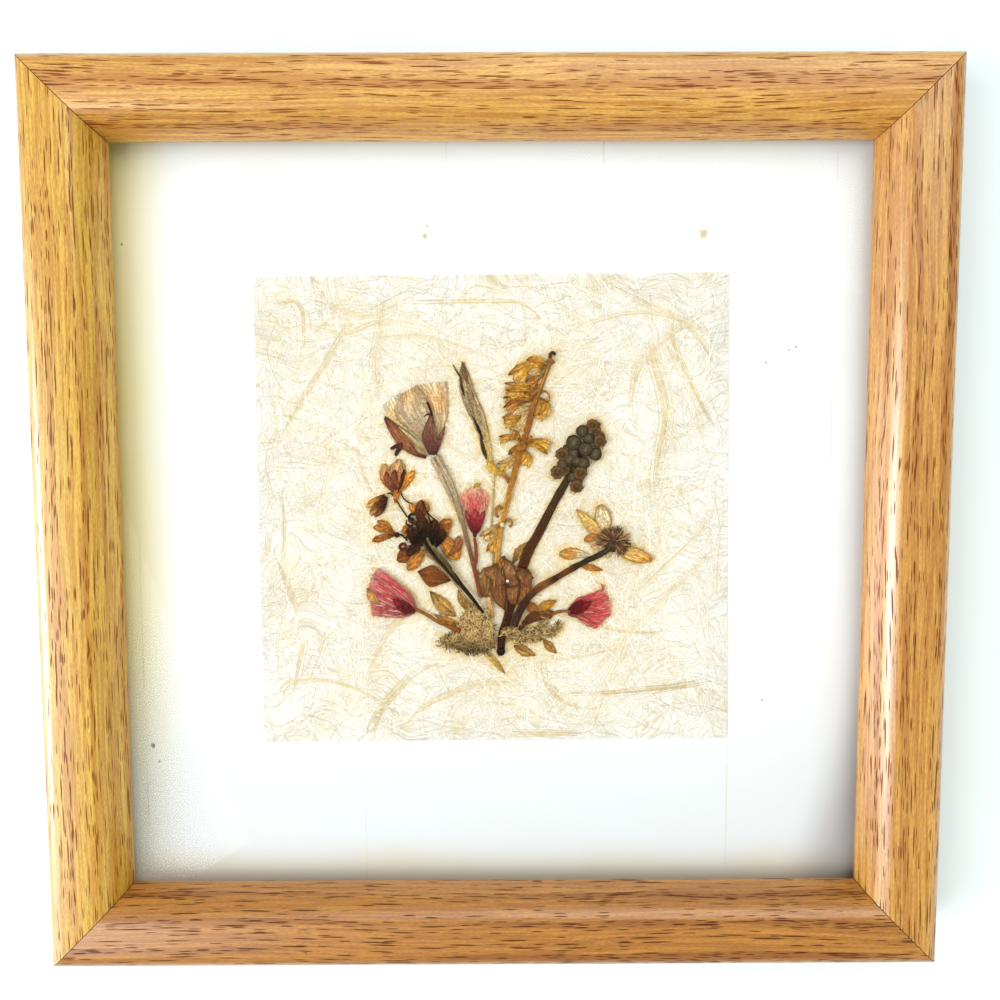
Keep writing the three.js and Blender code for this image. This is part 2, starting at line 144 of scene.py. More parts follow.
# Painted shadow towards the lower right corner: three times the way right, less the way up
shadow_corner = node(board, "Math", TIMES, {0: x_place, 1: 3})
shadow_corner = node(board, "Math", LESS, {0: shadow_corner, 1: y_place})
drift = node(board, "MapRange", {}, {0: cloud, 3: -4 * mm, 4: 4 * mm})
faded = node(board, "MapRange", SMOOTH, {0: cloud, 1: 0.3, 2: 0.8, 3: 0.0, 4: 0.3})
color = node(board, "Mix", MIX, {0: faded, 6: srgb("#EFF2EF"), 7: srgb("#E4E4D4")}, out=2)
# Toned and shaded edges, partly toning and partly painted shade and painted light: across which way, from and
# to where in mm, how strongly, and the color
TONED_AND_SHADED_EDGES = [
    # Left: toning and a painted warm bounce light. Lower half: painted shade, greyer towards the foot. Foot
    # and right: toning and painted shade. Head: toning. Corner: a painted shadow.
    (x_place, -80, -100, 0.72, "#F2DE50"), (y_place, -15, -85, 0.75, "#D0D6D4"),
    (y_place, -86, -98, 0.6, "#CDBA8C"), (x_place, 84, 99, 0.45, "#D2C8C0"),
    (y_place, 94, 106, 0.3, "#D8CA9C"), (shadow_corner, 322, 372, 0.6, "#8E8682"),
]
for place, start, end, most, code in TONED_AND_SHADED_EDGES:
    place = node(board, "Math", ADD, {0: place, 1: drift})
    tone_and_shade = node(board, "MapRange", SMOOTH, {0: place, 1: start * mm, 2: end * mm, 3: 0.0, 4: most})
    color = node(board, "Mix", MIX, {0: tone_and_shade, 6: color, 7: srgb(code)}, out=2)
# Foxed spots and specks of dust: place, radius and color
FOXED = "#B49A5A"
MARKS = [
    (-17.3, 73.5, 0.8, FOXED), (54.2, 74, 1.5, FOXED), (71, 41, 0.5, FOXED), (-16.6, 76, 0.5, FOXED),
    (-91.4, -60.3, 0.75, "#1E1A14"), (-89.8, -64.7, 0.35, "#5A4A28"), (76.9, 44.2, 0.35, "#6A5A3C"),
    (78.7, 45, 0.35, "#6A5A3C"), (-95.1, 71.6, 0.4, "#5A4A28"), (71.7, -48.5, 0.35, "#6A5A3C"),
]
for x, y, radius, code in MARKS:
    middle = (x * mm, y * mm, CARD_FACE)
    away = node(board, "VectorMath", {"operation": "DISTANCE"}, {0: here, 1: middle}, out=1)
    ragged = node(board, "TexNoise", {}, {"Vector": here, "Scale": 1 / (radius * mm), "Detail": 3})
    ragged = node(board, "MapRange", {}, {0: ragged, 3: -0.7 * radius * mm, 4: 0.7 * radius * mm})
    away = node(board, "Math", ADD, {0: away, 1: ragged})
    fade = {0: away, 1: 1.2 * radius * mm, 2: 0.3 * radius * mm, 3: 0.0, 4: 0.75}
    spot = node(board, "MapRange", SMOOTH, fade)
    color = node(board, "Mix", MIX, {0: spot, 6: color, 7: srgb(code)}, out=2)
worn = node(board, "TexNoise", {}, {"Vector": here, "Scale": 1 / (30 * mm), "Detail": 2})
worn = node(board, "MapRange", SMOOTH, {0: worn, 1: 0.42, 2: 0.58})
# Ruled lines: where each stands, which half it is in (1 head, -1 foot), and its color
RULED = [
    (-93.2, -1, "#A98F50"), (-34.6, -1, "#C4B48A"), (-11.6, 1, "#B8A878"), (28.6, 1, "#B8A070"),
    (62.6, -1, "#C4B48A"), (88.4, 1, "#B8AE90"),
]
for x, half, code in RULED:
    off = node(board, "Math", LESS, {0: x_place, 1: x * mm})
    off = node(board, "Math", ABSOLUTE, {0: off})
    line = node(board, "MapRange", SMOOTH, {0: off, 1: 0.1 * mm, 2: 0.26 * mm, 3: 0.34, 4: 0.0})
    line = node(board, "Math", TIMES, {0: line, 1: worn})
    up = node(board, "MapRange", {}, {0: y_place, 1: 0, 2: half * 10 * mm})
    line = node(board, "Math", TIMES, {0: line, 1: up})
    color = node(board, "Mix", MIX, {0: line, 6: color, 7: srgb(code)}, out=2)
relief = node(board, "Bump", {}, {"Height": felt, "Distance": 0.05 * mm, "Strength": 0.5})
finish_surface(board, {"Base Color": color, "Normal": relief})
surface_of("mount_card", board)


# ---------------------------------------------------------------- mulberry paper
# A hand-cut square of thin fibrous paper, glued flat to the card. It is made of long bast
# fibres: most are fine and pale, some are golden bundles that curl across the sheet.
PAPER_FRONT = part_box("mulberry_paper")[1].z
PAPER_CORNERS = "-61.4,-59.4 62.4,-58.6 61.0,64.1 -61.6,63.2"
PAPER_CELLS = 150
COCKLE = 0.05 * mm
FIBRE_COUNT = 3000
FIBRE_STEPS = 9
SCALE_AND_ADD = {"operation": "MULTIPLY_ADD"}


def deselect():
    if bpy.context.object and bpy.context.object.mode != "OBJECT":
        bpy.ops.object.mode_set(mode="OBJECT")
    bpy.ops.object.select_all(action="DESELECT")


def as_places(route):
    """Places on the flat in mm, which are given as text, "x,y x,y", or as an array."""
    return np.array([pair.split(",") for pair in route.split()] if isinstance(route, str) else route, float)


def points_of(piece):
    points = np.empty(len(piece.data.vertices) * 3, np.float32)
    piece.data.vertices.foreach_get("co", points)
    return points.reshape(-1, 3)


def set_points(piece, points):
    """Moves a mesh's points to given places and refreshes it."""
    piece.data.vertices.foreach_set("co", np.asarray(points, dtype=np.float32).ravel())
    piece.data.update()


def ripple(x, y, size, seed):
    """A smooth uneven height, mostly between -1 and 1, with bumps of about the given size."""
    draw = np.random.default_rng(seed)
    total = np.zeros_like(x)
    for _ in range(7):
        turn, phase = draw.uniform(0, 2 * np.pi, 2)
        pace = 2 * np.pi / (size * draw.uniform(0.7, 1.8))
        total += np.sin((x * np.cos(turn) + y * np.sin(turn)) * pace + phase)
    return total / 5


def grid(cells_along, cells_across):
    """A new flat grid with its own UV map, and how far along and across each point lies."""
    deselect()
    bpy.ops.mesh.primitive_grid_add(x_subdivisions=cells_along, y_subdivisions=cells_across, size=1)
    piece = bpy.context.object
    points = points_of(piece)
    return piece, points[:, 0] + 0.5, points[:, 1] + 0.5


def add_modifier(piece, kind, settings):
    deselect()
    bpy.context.view_layer.objects.active = piece
    piece.select_set(True)
    made = piece.modifiers.new(kind.lower(), kind)
    for name, value in settings.items():
        setattr(made, name, value)
    bpy.ops.object.modifier_apply(modifier=made.name)


def place_on_root(piece, name, nodes=()):
    piece.name = name
    if nodes:
        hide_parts(*nodes)
    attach(piece, "root")


# Undyed mulberry tissue: cream, cloudy where the pulp lies thicker, with fine hairs that curve
# across it every way, and a yellow tide of plant juice round the flowers.
tissue = new_material("undyed mulberry paper", {"Roughness": 0.9, "Specular IOR Level": 0.2})
here = node(tissue, "TexCoord", {}, {}, out=3)
pulp = node(tissue, "TexNoise", {}, {"Vector": here, "Scale": 1 / (13 * mm), "Detail": 5, "Roughness": 0.6})
pulp = node(tissue, "MapRange", SMOOTH, {0: pulp, 1: 0.38, 2: 0.68})
color = node(tissue, "Mix", MIX, {0: pulp, 6: srgb("#E4E3DA"), 7: srgb("#DCD4B8")}, out=2)
warp = node(tissue, "TexNoise", {}, {"Vector": here, "Scale": 1 / (28 * mm), "Detail": 2}, out=1)
bent = node(tissue, "VectorMath", SCALE_AND_ADD, {0: warp, 1: (0.03, 0.03, 0), 2: here})
raised = 0.0
# Hairs in the pulp: which way they run, where they start to show, their color and strength
PULP_HAIRS = [
    (0.4, 0.59, "#C0AC7C", 0.5), (1.25, 0.57, "#F6F6F0", 0.8), (1.9, 0.59, "#CAB888", 0.5),
    (2.6, 0.56, "#F6F6F0", 0.8), (3.0, 0.61, "#B69E66", 0.5), (0.85, 0.6, "#DACEA2", 0.5),
]
for turn, level, code, share in PULP_HAIRS:
    inputs = {0: bent, 1: (turn, 0, 0), 2: (0, 0, turn), 3: (11 * mm, 0.34 * mm, 11 * mm)}
    drawn = node(tissue, "Mapping", {"vector_type": "TEXTURE"}, inputs)
    hair = node(tissue, "TexNoise", {}, {"Vector": drawn, "Scale": 1, "Detail": 2, "Roughness": 0.5})
    line = node(tissue, "MapRange", SMOOTH, {0: hair, 1: level, 2: level + 0.08, 3: 0.0, 4: share})
    color = node(tissue, "Mix", MIX, {0: line, 6: color, 7: srgb(code)}, out=2)
    raised = node(tissue, "Math", ADD, {0: line, 1: raised})
stain = node(tissue, "Attribute", {"attribute_name": "stain"}, {}, out=2)
color = node(tissue, "Mix", MIX, {0: stain, 6: color, 7: srgb("#DDB844")}, out=2)
grit = node(tissue, "TexNoise", {}, {"Vector": here, "Scale": 1 / (0.5 * mm), "Detail": 5, "Roughness": 0.7})
raised = node(tissue, "Math", ADD, {0: raised, 1: grit})
relief = node(tissue, "Bump", {}, {"Height": raised, "Distance": 0.1 * mm, "Strength": 0.8})
finish_surface(tissue, {"Base Color": color, "Normal": relief})

sheet, along, across = grid(PAPER_CELLS, PAPER_CELLS)
corners = as_places(PAPER_CORNERS) * mm
foot = corners[0] + (corners[1] - corners[0]) * along[:, None]
head = corners[3] + (corners[2] - corners[3]) * along[:, None]
flat = foot + (head - foot) * across[:, None]
edge = np.minimum(np.minimum(along, 1 - along), np.minimum(across, 1 - across))
rise = COCKLE * (1 + ripple(flat[:, 0], flat[:, 1], 16 * mm, 5)) * np.clip(edge * 14, 0, 1)
height = PAPER_FRONT - COCKLE + rise
set_points(sheet, np.column_stack([flat, height]))
sheet.data.attributes.new("stain", "FLOAT", "POINT")
sheet.data.materials.append(tissue)

# Bast fibre: long flat strands, silky cream to golden tan, with the tan ones in loose bundles.
bast = new_material("mulberry bast fibre", {"Roughness": 0.65, "Specular IOR Level": 0.35})
here = node(bast, "TexCoord", {}, {}, out=3)
tone = node(bast, "Attribute", {"attribute_name": "tone"}, {}, out=2)
streak = node(bast, "TexNoise", {}, {"Vector": here, "Scale": 1 / (1.5 * mm), "Detail": 2})
streak = node(bast, "MapRange", SMOOTH, {0: streak, 1: 0.4, 2: 0.7, 3: 0.0, 4: 0.35})
tan = node(bast, "MapRange", SMOOTH, {0: tone, 1: 0.0, 2: 0.55})
brown = node(bast, "MapRange", SMOOTH, {0: tone, 1: 0.55, 2: 1.0})
color = node(bast, "Mix", MIX, {0: tan, 6: srgb("#EEEDE2"), 7: srgb("#D0BC84")}, out=2)
color = node(bast, "Mix", MIX, {0: brown, 6: color, 7: srgb("#9A7C44")}, out=2)
color = node(bast, "Mix", MIX, {0: streak, 6: color, 7: srgb("#E8E2C4")}, out=2)
finish_surface(bast, {"Base Color": color})


def strands(name, paths, widths, tones, flatness):
    """One mesh of many closed three-sided strands that follow smooth paths, with a tone each."""
    points, faces, shades = [], [], []
    for path, width, tone in zip(paths, widths, tones):
        path = np.asarray(path)
        run = np.gradient(path[:, :2], axis=0)
        run /= np.maximum(np.linalg.norm(run, axis=1, keepdims=True), 1e-9)
        side = np.column_stack([-run[:, 1], run[:, 0], np.zeros(len(path))])
        taper = np.sin(np.linspace(0.12, np.pi - 0.12, len(path))) ** 0.5 * width / 2
        up = np.array([0, 0, 1]) * flatness * width
        first = len(points)
        for place, beside, half in zip(path, side, taper):
            points += [place - beside * half, place + beside * half, place + up]
        for i in range(len(path) - 1):
            a, b = first + 3 * i, first + 3 * i + 3
            faces += [(a, b, b + 2, a + 2), (a + 2, b + 2, b + 1, a + 1), (a + 1, b + 1, b, a)]
        last = len(points) - 3
        faces += [(first, first + 2, first + 1), (last, last + 1, last + 2)]
        shades += [tone] * (3 * len(path))
    mesh = bpy.data.meshes.new(name)
    mesh.from_pydata([tuple(p) for p in points], [], faces)
    mesh.attributes.new("tone", "FLOAT", "POINT").data.foreach_set("value", shades)
    piece = bpy.data.objects.new(name, mesh)
    bpy.context.scene.collection.objects.link(piece)
    return piece


def curl(start, turn, length, bend, draw, steps=FIBRE_STEPS):
    """A wandering line on the flat from a start, with its heading bending along the way."""
    place, line = np.array(start, float), []
    for _ in range(steps + 1):
        line.append(place.copy())
        place = place + length / steps * np.array([math.cos(turn), math.sin(turn)])
        turn += bend / steps + draw.normal(0, 0.12)
    return np.array(line)


def on_paper(line, lift):
    """Drops a flat line on the sheet and keeps it inside the sheet's edges."""
    low, high = corners.min(axis=0) + 1.2 * mm, corners.max(axis=0) - 1.6 * mm
    kept = np.clip(line, low, high)
    return np.column_stack([kept, np.full(len(kept), PAPER_FRONT + lift)])


def inside_paper(line):
    low, high = corners.min(axis=0) + 1 * mm, corners.max(axis=0) - 1.4 * mm
    return bool(((line > low) & (line < high)).all())


draw = np.random.default_rng(41)
paths, widths, tones = [], [], []
while len(paths) < FIBRE_COUNT:
    start = draw.uniform(-62, 64, 2) * mm
    length = draw.uniform(7, 34) * mm
    line = curl(start, draw.uniform(0, 2 * math.pi), length, draw.normal(0, 0.9), draw)
    if not inside_paper(line):
        continue
    paths.append(on_paper(line, -0.01 * mm))
    golden = draw.random() < 0.22
    widths.append(draw.uniform(0.1, 0.17 if golden else 0.26) * mm)
    tones.append(draw.uniform(0.35, 0.7) if golden else draw.uniform(0, 0.3))

# Golden bundles: places they run through, how many strands, how wide they spread, how dark
BUNDLES = [
    ("40,60 41,52 40.5,44 44,34 45,26 42,14 43,2", 34, 1.5, 0.5),
    ("17,-46 30,-46.2 45,-45 60,-42.6", 30, 0.8, 0.66),
    ("-34,-58 -30,-50 -22,-41 -12,-36", 22, 0.9, 0.6),
    ("-56,22 -44,40 -34,57", 20, 1.1, 0.5),
    ("-28,60 -29,50 -31,40 -30,30", 26, 1.6, 0.4),
    ("-27,-58 -18,-49 -4,-43 12,-44", 16, 0.8, 0.5),
    ("58,40 50,52 30,61", 14, 1.0, 0.4),
    ("-58,-8 -50,-30 -55,-52", 16, 1.1, 0.45),
    ("60,20 52,34 46,48 47,60", 18, 0.9, 0.45),
    ("-52,52 -38,48 -20,56", 12, 0.8, 0.45),
    ("60,-6 40,-26 14,-56", 14, 1.0, 0.4),
    ("36,-20 34,-34 27,-48 24,-58", 20, 1.2, 0.35),
]
for _ in range(26):
    start = draw.uniform(-56, 56, 2)
    wander = curl(start, draw.uniform(0, 2 * math.pi), draw.uniform(22, 60), draw.normal(0, 1.3), draw, 6)
    BUNDLES.append((
        np.clip(wander, -57, 57), draw.integers(8, 18), draw.uniform(0.3, 1.0), draw.uniform(0.25, 0.5),
    ))
for places, count, spread, tone in BUNDLES:
    route = as_places(places) * mm
    for _ in range(count):
        seen = np.linspace(draw.uniform(0, 0.3), draw.uniform(0.7, 1), 14) * (len(route) - 1)
        line = np.column_stack([np.interp(seen, range(len(route)), route[:, axis]) for axis in (0, 1)])
        line = np.array([line[max(i - 1, 0) : i + 2].mean(axis=0) for i in range(len(line))])
        shift = draw.normal(0, spread * 0.5, 2) * mm
        line += shift + np.cumsum(draw.normal(0, 0.09, line.shape), axis=0) * mm
        paths.append(on_paper(line, 0.01 * mm))
        widths.append(draw.uniform(0.07, 0.17) * mm)
        tones.append(min(1, max(0, draw.normal(tone, 0.12))))
fibres = strands("mulberry_fibres", paths, widths, tones, 0.35)
fibres.data.materials.append(bast)
place_on_root(fibres, "mulberry_fibres")


# ---------------------------------------------------------------- leaves laid down first
# Small dry leaves, a pale stalk, a blade of straw and two stray petals, laid on the glued paper
# before the flowers. Pressing has made them flat, thin and crisp, with raised veins.
BUNDLE = np.array((-2.0, -24.0))
BUNDLE_REACH = 12
LAYER_STEP = 0.07
BUNDLE_STEP = 0.19
SKIN = 0.09
CELL_LENGTH, CELL_WIDTH = 0.35, 0.3
# Outlines from base to tip, as shares of the width
LEAF = (0.1, 0.6, 0.95, 1.0, 0.8, 0.45, 0.04)
PETAL = (0.15, 0.42, 0.68, 0.9, 1.0, 0.88, 0.2)
STRAP = (0.4, 0.9, 1.0, 1.0, 0.95, 0.7, 0.1)


def curve(places, count):
    """Evenly spaced points on a smooth line through the given places, in millimetres."""
    knots = as_places(places)
    ends = np.vstack([2 * knots[0] - knots[1], knots, 2 * knots[-1] - knots[-2]])
    dense = [knots[0]]
    for a, b, c, d in zip(ends, ends[1:], ends[2:], ends[3:]):
        for t in np.arange(1, 13) / 12:
            dense.append(b + 0.5 * t * (c - a + t * (2 * a - 5 * b + 4 * c - d + t * (3 * (b - c) + d - a))))
    dense = np.array(dense)
    run = np.append(0, np.cumsum(np.linalg.norm(np.diff(dense, axis=0), axis=1)))
    steps = np.linspace(0, run[-1], count)
    return np.column_stack([np.interp(steps, run, dense[:, axis]) for axis in (0, 1)])


def sideways(line):
    """The direction to the left of a line at each of its points."""
    run = np.gradient(line, axis=0)
    run /= np.maximum(np.linalg.norm(run, axis=1, keepdims=True), 1e-9)
    return np.column_stack([-run[:, 1], run[:, 0]])


def resting(flat, layer):
    """Height of a plant in its layer: it lies on the paper, and rides up over the bundle."""
    near = np.exp(-(((flat - BUNDLE) / BUNDLE_REACH) ** 2).sum(axis=1))
    return PAPER_FRONT / mm + 0.1 + layer * (LAYER_STEP + BUNDLE_STEP * near)


def paint(piece, share, tints, margin=None, edge=0):
    """Gives each point a tint between the given ones, and a margin color near its edge."""
    colors = np.array([srgb(code) for code in tints.split()])
    stops = np.linspace(0, 1, len(colors))
    shade = np.column_stack([np.interp(share, stops, colors[:, part]) for part in range(4)])
    if margin:
        shade += (np.array(srgb(margin)) - shade) * (np.clip(edge, 0, 1) ** 5)[:, None]
    made = piece.data.attributes.new("tint", "FLOAT_COLOR", "POINT")
    made.data.foreach_set("color", shade.ravel())


def seal(piece):
    """Merges the points that meet at closed ends and turns all faces outward."""
    bpy.ops.object.mode_set(mode="EDIT")
    bpy.ops.mesh.select_all(action="SELECT")
    bpy.ops.mesh.remove_doubles(threshold=0.004 * mm)
    bpy.ops.mesh.normals_make_consistent(inside=False)
    bpy.ops.object.mode_set(mode="OBJECT")


def blade(left, right, tints, layer, material, lift=0.0, cup=0.0, crumple=0.035, pleats=0,
          margin=None, ragged=0.0):
    """A thin dry petal or leaf between two edges that run from its base to its tip, in mm."""
    left, right = as_places(left), as_places(right)
    length = np.linalg.norm(np.diff(curve(left, 9), axis=0), axis=1).sum()
    breadth = np.linalg.norm(curve(left, 9) - curve(right, 9), axis=1).max()
    cells = int(np.clip(length / CELL_LENGTH, 8, 44)), int(np.clip(breadth / CELL_WIDTH, 6, 30))
    piece, along, across = grid(*cells)
    row = np.rint(along * cells[0]).astype(int)
    seed = int(abs(left[0][0] * 710 + right[-1][1] * 370)) + 1
    left, right = curve(left, cells[0] + 1), curve(right, cells[0] + 1)
    edge = abs(2 * across - 1)
    frayed = 1 + ragged * ripple(along * 9, edge * 0.7 + across * 5, 1.1, seed) * edge**4
    share = (0.5 + (across - 0.5) * frayed)[:, None]
    flat = left[row] * (1 - share) + right[row] * share
    folds = np.sin(2 * np.pi * pleats * across + 1.6 * ripple(along, across, 0.9, seed))
    height = resting(flat, layer) + lift + cup * edge**2 + 0.055 * folds * (pleats > 0) * along**0.5
    height += crumple * ripple(flat[:, 0], flat[:, 1], 1.5, seed)
    set_points(piece, np.column_stack([flat, np.maximum(height, PAPER_FRONT / mm + 0.02)]) * mm)
    paint(piece, along, tints, margin, np.maximum(edge, along))
    seal(piece)
    add_modifier(piece, "SOLIDIFY", {"thickness": SKIN * mm, "offset": 1})
    piece.data.materials.append(material)
    return piece


def leaf(route, width, shape, *look, **more):
    """A blade spread to both sides of its midrib."""
    middle = curve(route, 15)
    half = np.interp(np.linspace(0, 1, 15), np.linspace(0, 1, len(shape)), shape)[:, None] * width / 2
    return blade(middle + sideways(middle) * half, middle - sideways(middle) * half, *look, **more)


def stalk(route, widths, tints, layer, material, lift=0.0, depth=0.62, knobs=0.06):
    """A pressed stem: a flattened tube along a smooth line, closed at both ends, in mm."""
    route = as_places(route)
    length = np.linalg.norm(np.diff(route, axis=0), axis=1).sum()
    steps = int(np.clip(length / 0.45, 8, 110))
    piece, along, across = grid(steps, 10)
    row = np.rint(along * steps).astype(int)
    line = curve(route, steps + 1)
    half = np.interp(along, np.linspace(0, 1, len(widths)), widths) / 2
    seed = int(abs(route[0][0] * 530 + route[-1][1] * 290)) + 1
    half *= 1 + knobs * ripple(along * length, across * 0, 2.2, seed)
    half *= np.where((row == 0) | (row == steps), 0, 1)
    turn = 2 * np.pi * across
    ribs = 1 + 0.07 * np.sin(turn * 4 + 2 * ripple(along * length, along, 6, seed))
    flat = line[row] + sideways(line)[row] * (half * ribs * np.cos(turn))[:, None]
    top = resting(line, layer)[row] + lift + half * depth * ribs * (1 + np.sin(turn))
    set_points(piece, np.column_stack([flat, top]) * mm)
    paint(piece, along, tints)
    seal(piece)
    piece.data.materials.append(material)
    return piece


def gather(pieces, name):
    """Joins the parts of one plant, which stands in for the drawing's node of that name."""
    deselect()
    for piece in pieces:
        piece.select_set(True)
    bpy.context.view_layer.objects.active = pieces[0]
    bpy.ops.object.join()
    bpy.ops.object.shade_smooth_by_angle(angle=math.radians(50))
    place_on_root(pieces[0], name + "_pressed", [name])


def pressed(name, vein, lines, vein_share, freckle, freckle_share, rough=0.6, freckle_size=0.45):
    """Pressed plant skin in its own tints: thin veins along it, a darker rim, freckles, wrinkles."""
    gloss = {"Specular IOR Level": 0.12, "Specular Tint": srgb("#E8B87C"), "Roughness": rough}
    made = new_material(name, gloss)
    tint = node(made, "Attribute", {"attribute_name": "tint"}, {})
    over = node(made, "TexCoord", {}, {}, out=2)
    here = node(made, "TexCoord", {}, {}, out=3)
    spread = node(made, "Mapping", {}, {0: over, 3: (1.8, lines, 1)})
    veins = node(made, "TexNoise", {}, {"Vector": spread, "Scale": 1, "Detail": 2, "Roughness": 0.5})
    inputs = {"Vector": here, "Scale": 1 / (0.7 * mm), "Detail": 5, "Roughness": 0.7}
    wrinkle = node(made, "TexNoise", {}, inputs)
    uneven = node(made, "MapRange", SMOOTH, {0: wrinkle, 1: 0.3, 2: 0.7, 3: 0.6, 4: 1.35})
    fibre = node(made, "MapRange", SMOOTH, {0: veins, 1: 0.32, 2: 0.66, 3: 0.74, 4: 1.22})
    color = node(made, "VectorMath", TIMES, {0: tint, 1: uneven})
    color = node(made, "VectorMath", TIMES, {0: color, 1: fibre})
    off = node(made, "Math", LESS, {0: veins, 1: 0.5})
    off = node(made, "Math", ABSOLUTE, {0: off})
    line = node(made, "MapRange", SMOOTH, {0: off, 1: 0.0, 2: 0.05, 3: vein_share, 4: 0.0})
    color = node(made, "Mix", MIX, {0: line, 6: color, 7: srgb(vein)}, out=2)
    across = node(made, "SeparateXYZ", {}, {0: over}, out=1)
    rim = node(made, "Math", {"operation": "PINGPONG"}, {0: across, 1: 0.5})
    rim = node(made, "MapRange", SMOOTH, {0: rim, 1: 0.0, 2: 0.09, 3: 0.45, 4: 0.0})
    color = node(made, "Mix", MIX, {0: rim, 6: color, 7: srgb(freckle)}, out=2)
    dots = node(made, "TexNoise", {}, {"Vector": here, "Scale": 1 / (freckle_size * mm), "Detail": 2})
    dots = node(made, "MapRange", SMOOTH, {0: dots, 1: 0.58, 2: 0.66, 3: 0.0, 4: 0.6 * freckle_share})
    color = node(made, "Mix", MIX, {0: dots, 6: color, 7: srgb(freckle)}, out=2)
    height = node(made, "Math", ADD, {0: line, 1: wrinkle})
    relief = node(made, "Bump", {}, {"Height": height, "Distance": 0.25 * mm, "Strength": 0.9})
    finish_surface(made, {"Base Color": color, "Normal": relief})
    return made


# Leaf skins: brown and papery, amber where light comes through, with darker raised veins
brown_leaf = pressed("leaf, pressed and dried brown", "#5A361A", 9, 0.55, "#492C16", 0.5)
amber_leaf = pressed("leaf, pressed and dried amber", "#9E6624", 8, 0.6, "#6A421C", 0.55)
straw_skin = pressed("grass stalk, dried to straw", "#A38A48", 5, 0.6, "#7A5F30", 0.4, 0.5)

parts = [
    leaf("-3.1,-18.8 -3.6,-15.6 -4.4,-12.9", 2.0, LEAF, "#6C4222 #9E6630 #C08738", 0, brown_leaf),
    leaf("-3.0,-18.4 -1.2,-14.6 0.6,-11.2", 1.7, LEAF, "#6C4222 #9E6830 #AA763A", 0, brown_leaf, lift=0.08),
]
gather(parts, "forked_leaf")
# Name, midrib and width in mm, and tints from base to tip
SMALL_LEAVES = [
    ("golden_leaf", "5.2,-11.2 7.0,-8.2 9.8,-5.4", 2.5, "#8E6A38 #B08A4A #A07C42"),
    ("side_leaf_1", "-10.0,-25.4 -13.4,-22.6 -16.8,-18.6", 4.0, "#AC8144 #C09850 #7A5A30"),
    ("side_leaf_2", "-7.6,-23.4 -8.6,-20.6 -9.2,-18.1", 1.9, "#B08A48 #C4A05A #A88040"),
    ("side_leaf_3", "-5.6,-25.4 -6.6,-22.9 -7.2,-20.7", 2.5, "#A07A3E #B88E4C #946C38"),
    ("lower_leaf_1", "5.4,-33.4 8.2,-34.9 11.1,-36.0", 2.8, "#9C7438 #BC9048 #A87A3C"),
    ("lower_leaf_2", "13.2,-31.7 14.8,-33.6 16.7,-35.5", 2.3, "#A87C40 #B88A48 #9C7038"),
]
for name, route, width, tints in SMALL_LEAVES:
    parts = [leaf(route, width, LEAF, tints, 0, amber_leaf, cup=0.18, crumple=0.07, ragged=0.2)]
    parts.append(stalk(curve(route, 5)[:-1], (0.32, 0.25, 0.14), "#9E6D30 #C08C40", 0, straw_skin, lift=0.08))
    if name == "side_leaf_1":
        low = "-8.6,-28.1 -12.0,-26.9 -15.6,-24.9"
        parts.append(leaf(low, 2.3, LEAF, "#C08C3C #D49C44 #B7833A", 0, amber_leaf, cup=0.15))
    gather(parts, name)

parts = [stalk("-1.4,-19.8 -0.9,-22.8 -0.1,-25.9", (1.3, 1.5, 1.2),
               "#DEAD72 #CF9C5E #C08C4E", 0, straw_skin)]
gather(parts, "pale_stalk")
parts = [
    stalk("-2.6,-34.2 -0.6,-37.0 1.9,-40.2", (1.1, 1.0, 0.6), "#E3C67D #D6AD54 #BB8F3F", 0, straw_skin,
          depth=0.35),
    leaf("-1.6,-35.0 0.6,-37.8 3.0,-41.0", 1.3, STRAP, "#E6D190 #D5A64E #93672A", 0, straw_skin),
]
gather(parts, "straw_blade")

# Daisy petals come off easily: these two are thin and golden, with a brown rotten patch
golden_petal = pressed("ray petal, pressed and dried gold", "#C1851F", 7, 0.6, "#7F5420", 0.6, 0.5, 0.6)
parts = [leaf("25.4,-9.6 22.0,-8.8 19.3,-8.9 17.4,-8.9", 3.2, (0.3, 0.5, 0.7, 0.9, 1.0, 0.85, 0.3),
              "#E1DAB2 #E1DBB0 #E1AA61 #C6853B #E1B572", 0, golden_petal, margin="#B78845", ragged=0.1)]
gather(parts, "loose_petal_1")
parts = [leaf("23.2,-12.2 25.8,-12.6 28.8,-13.2", 1.7, LEAF, "#DCA34B #C67F33 #975E2A",
              0, golden_petal, cup=0.2)]
gather(parts, "loose_petal_2")


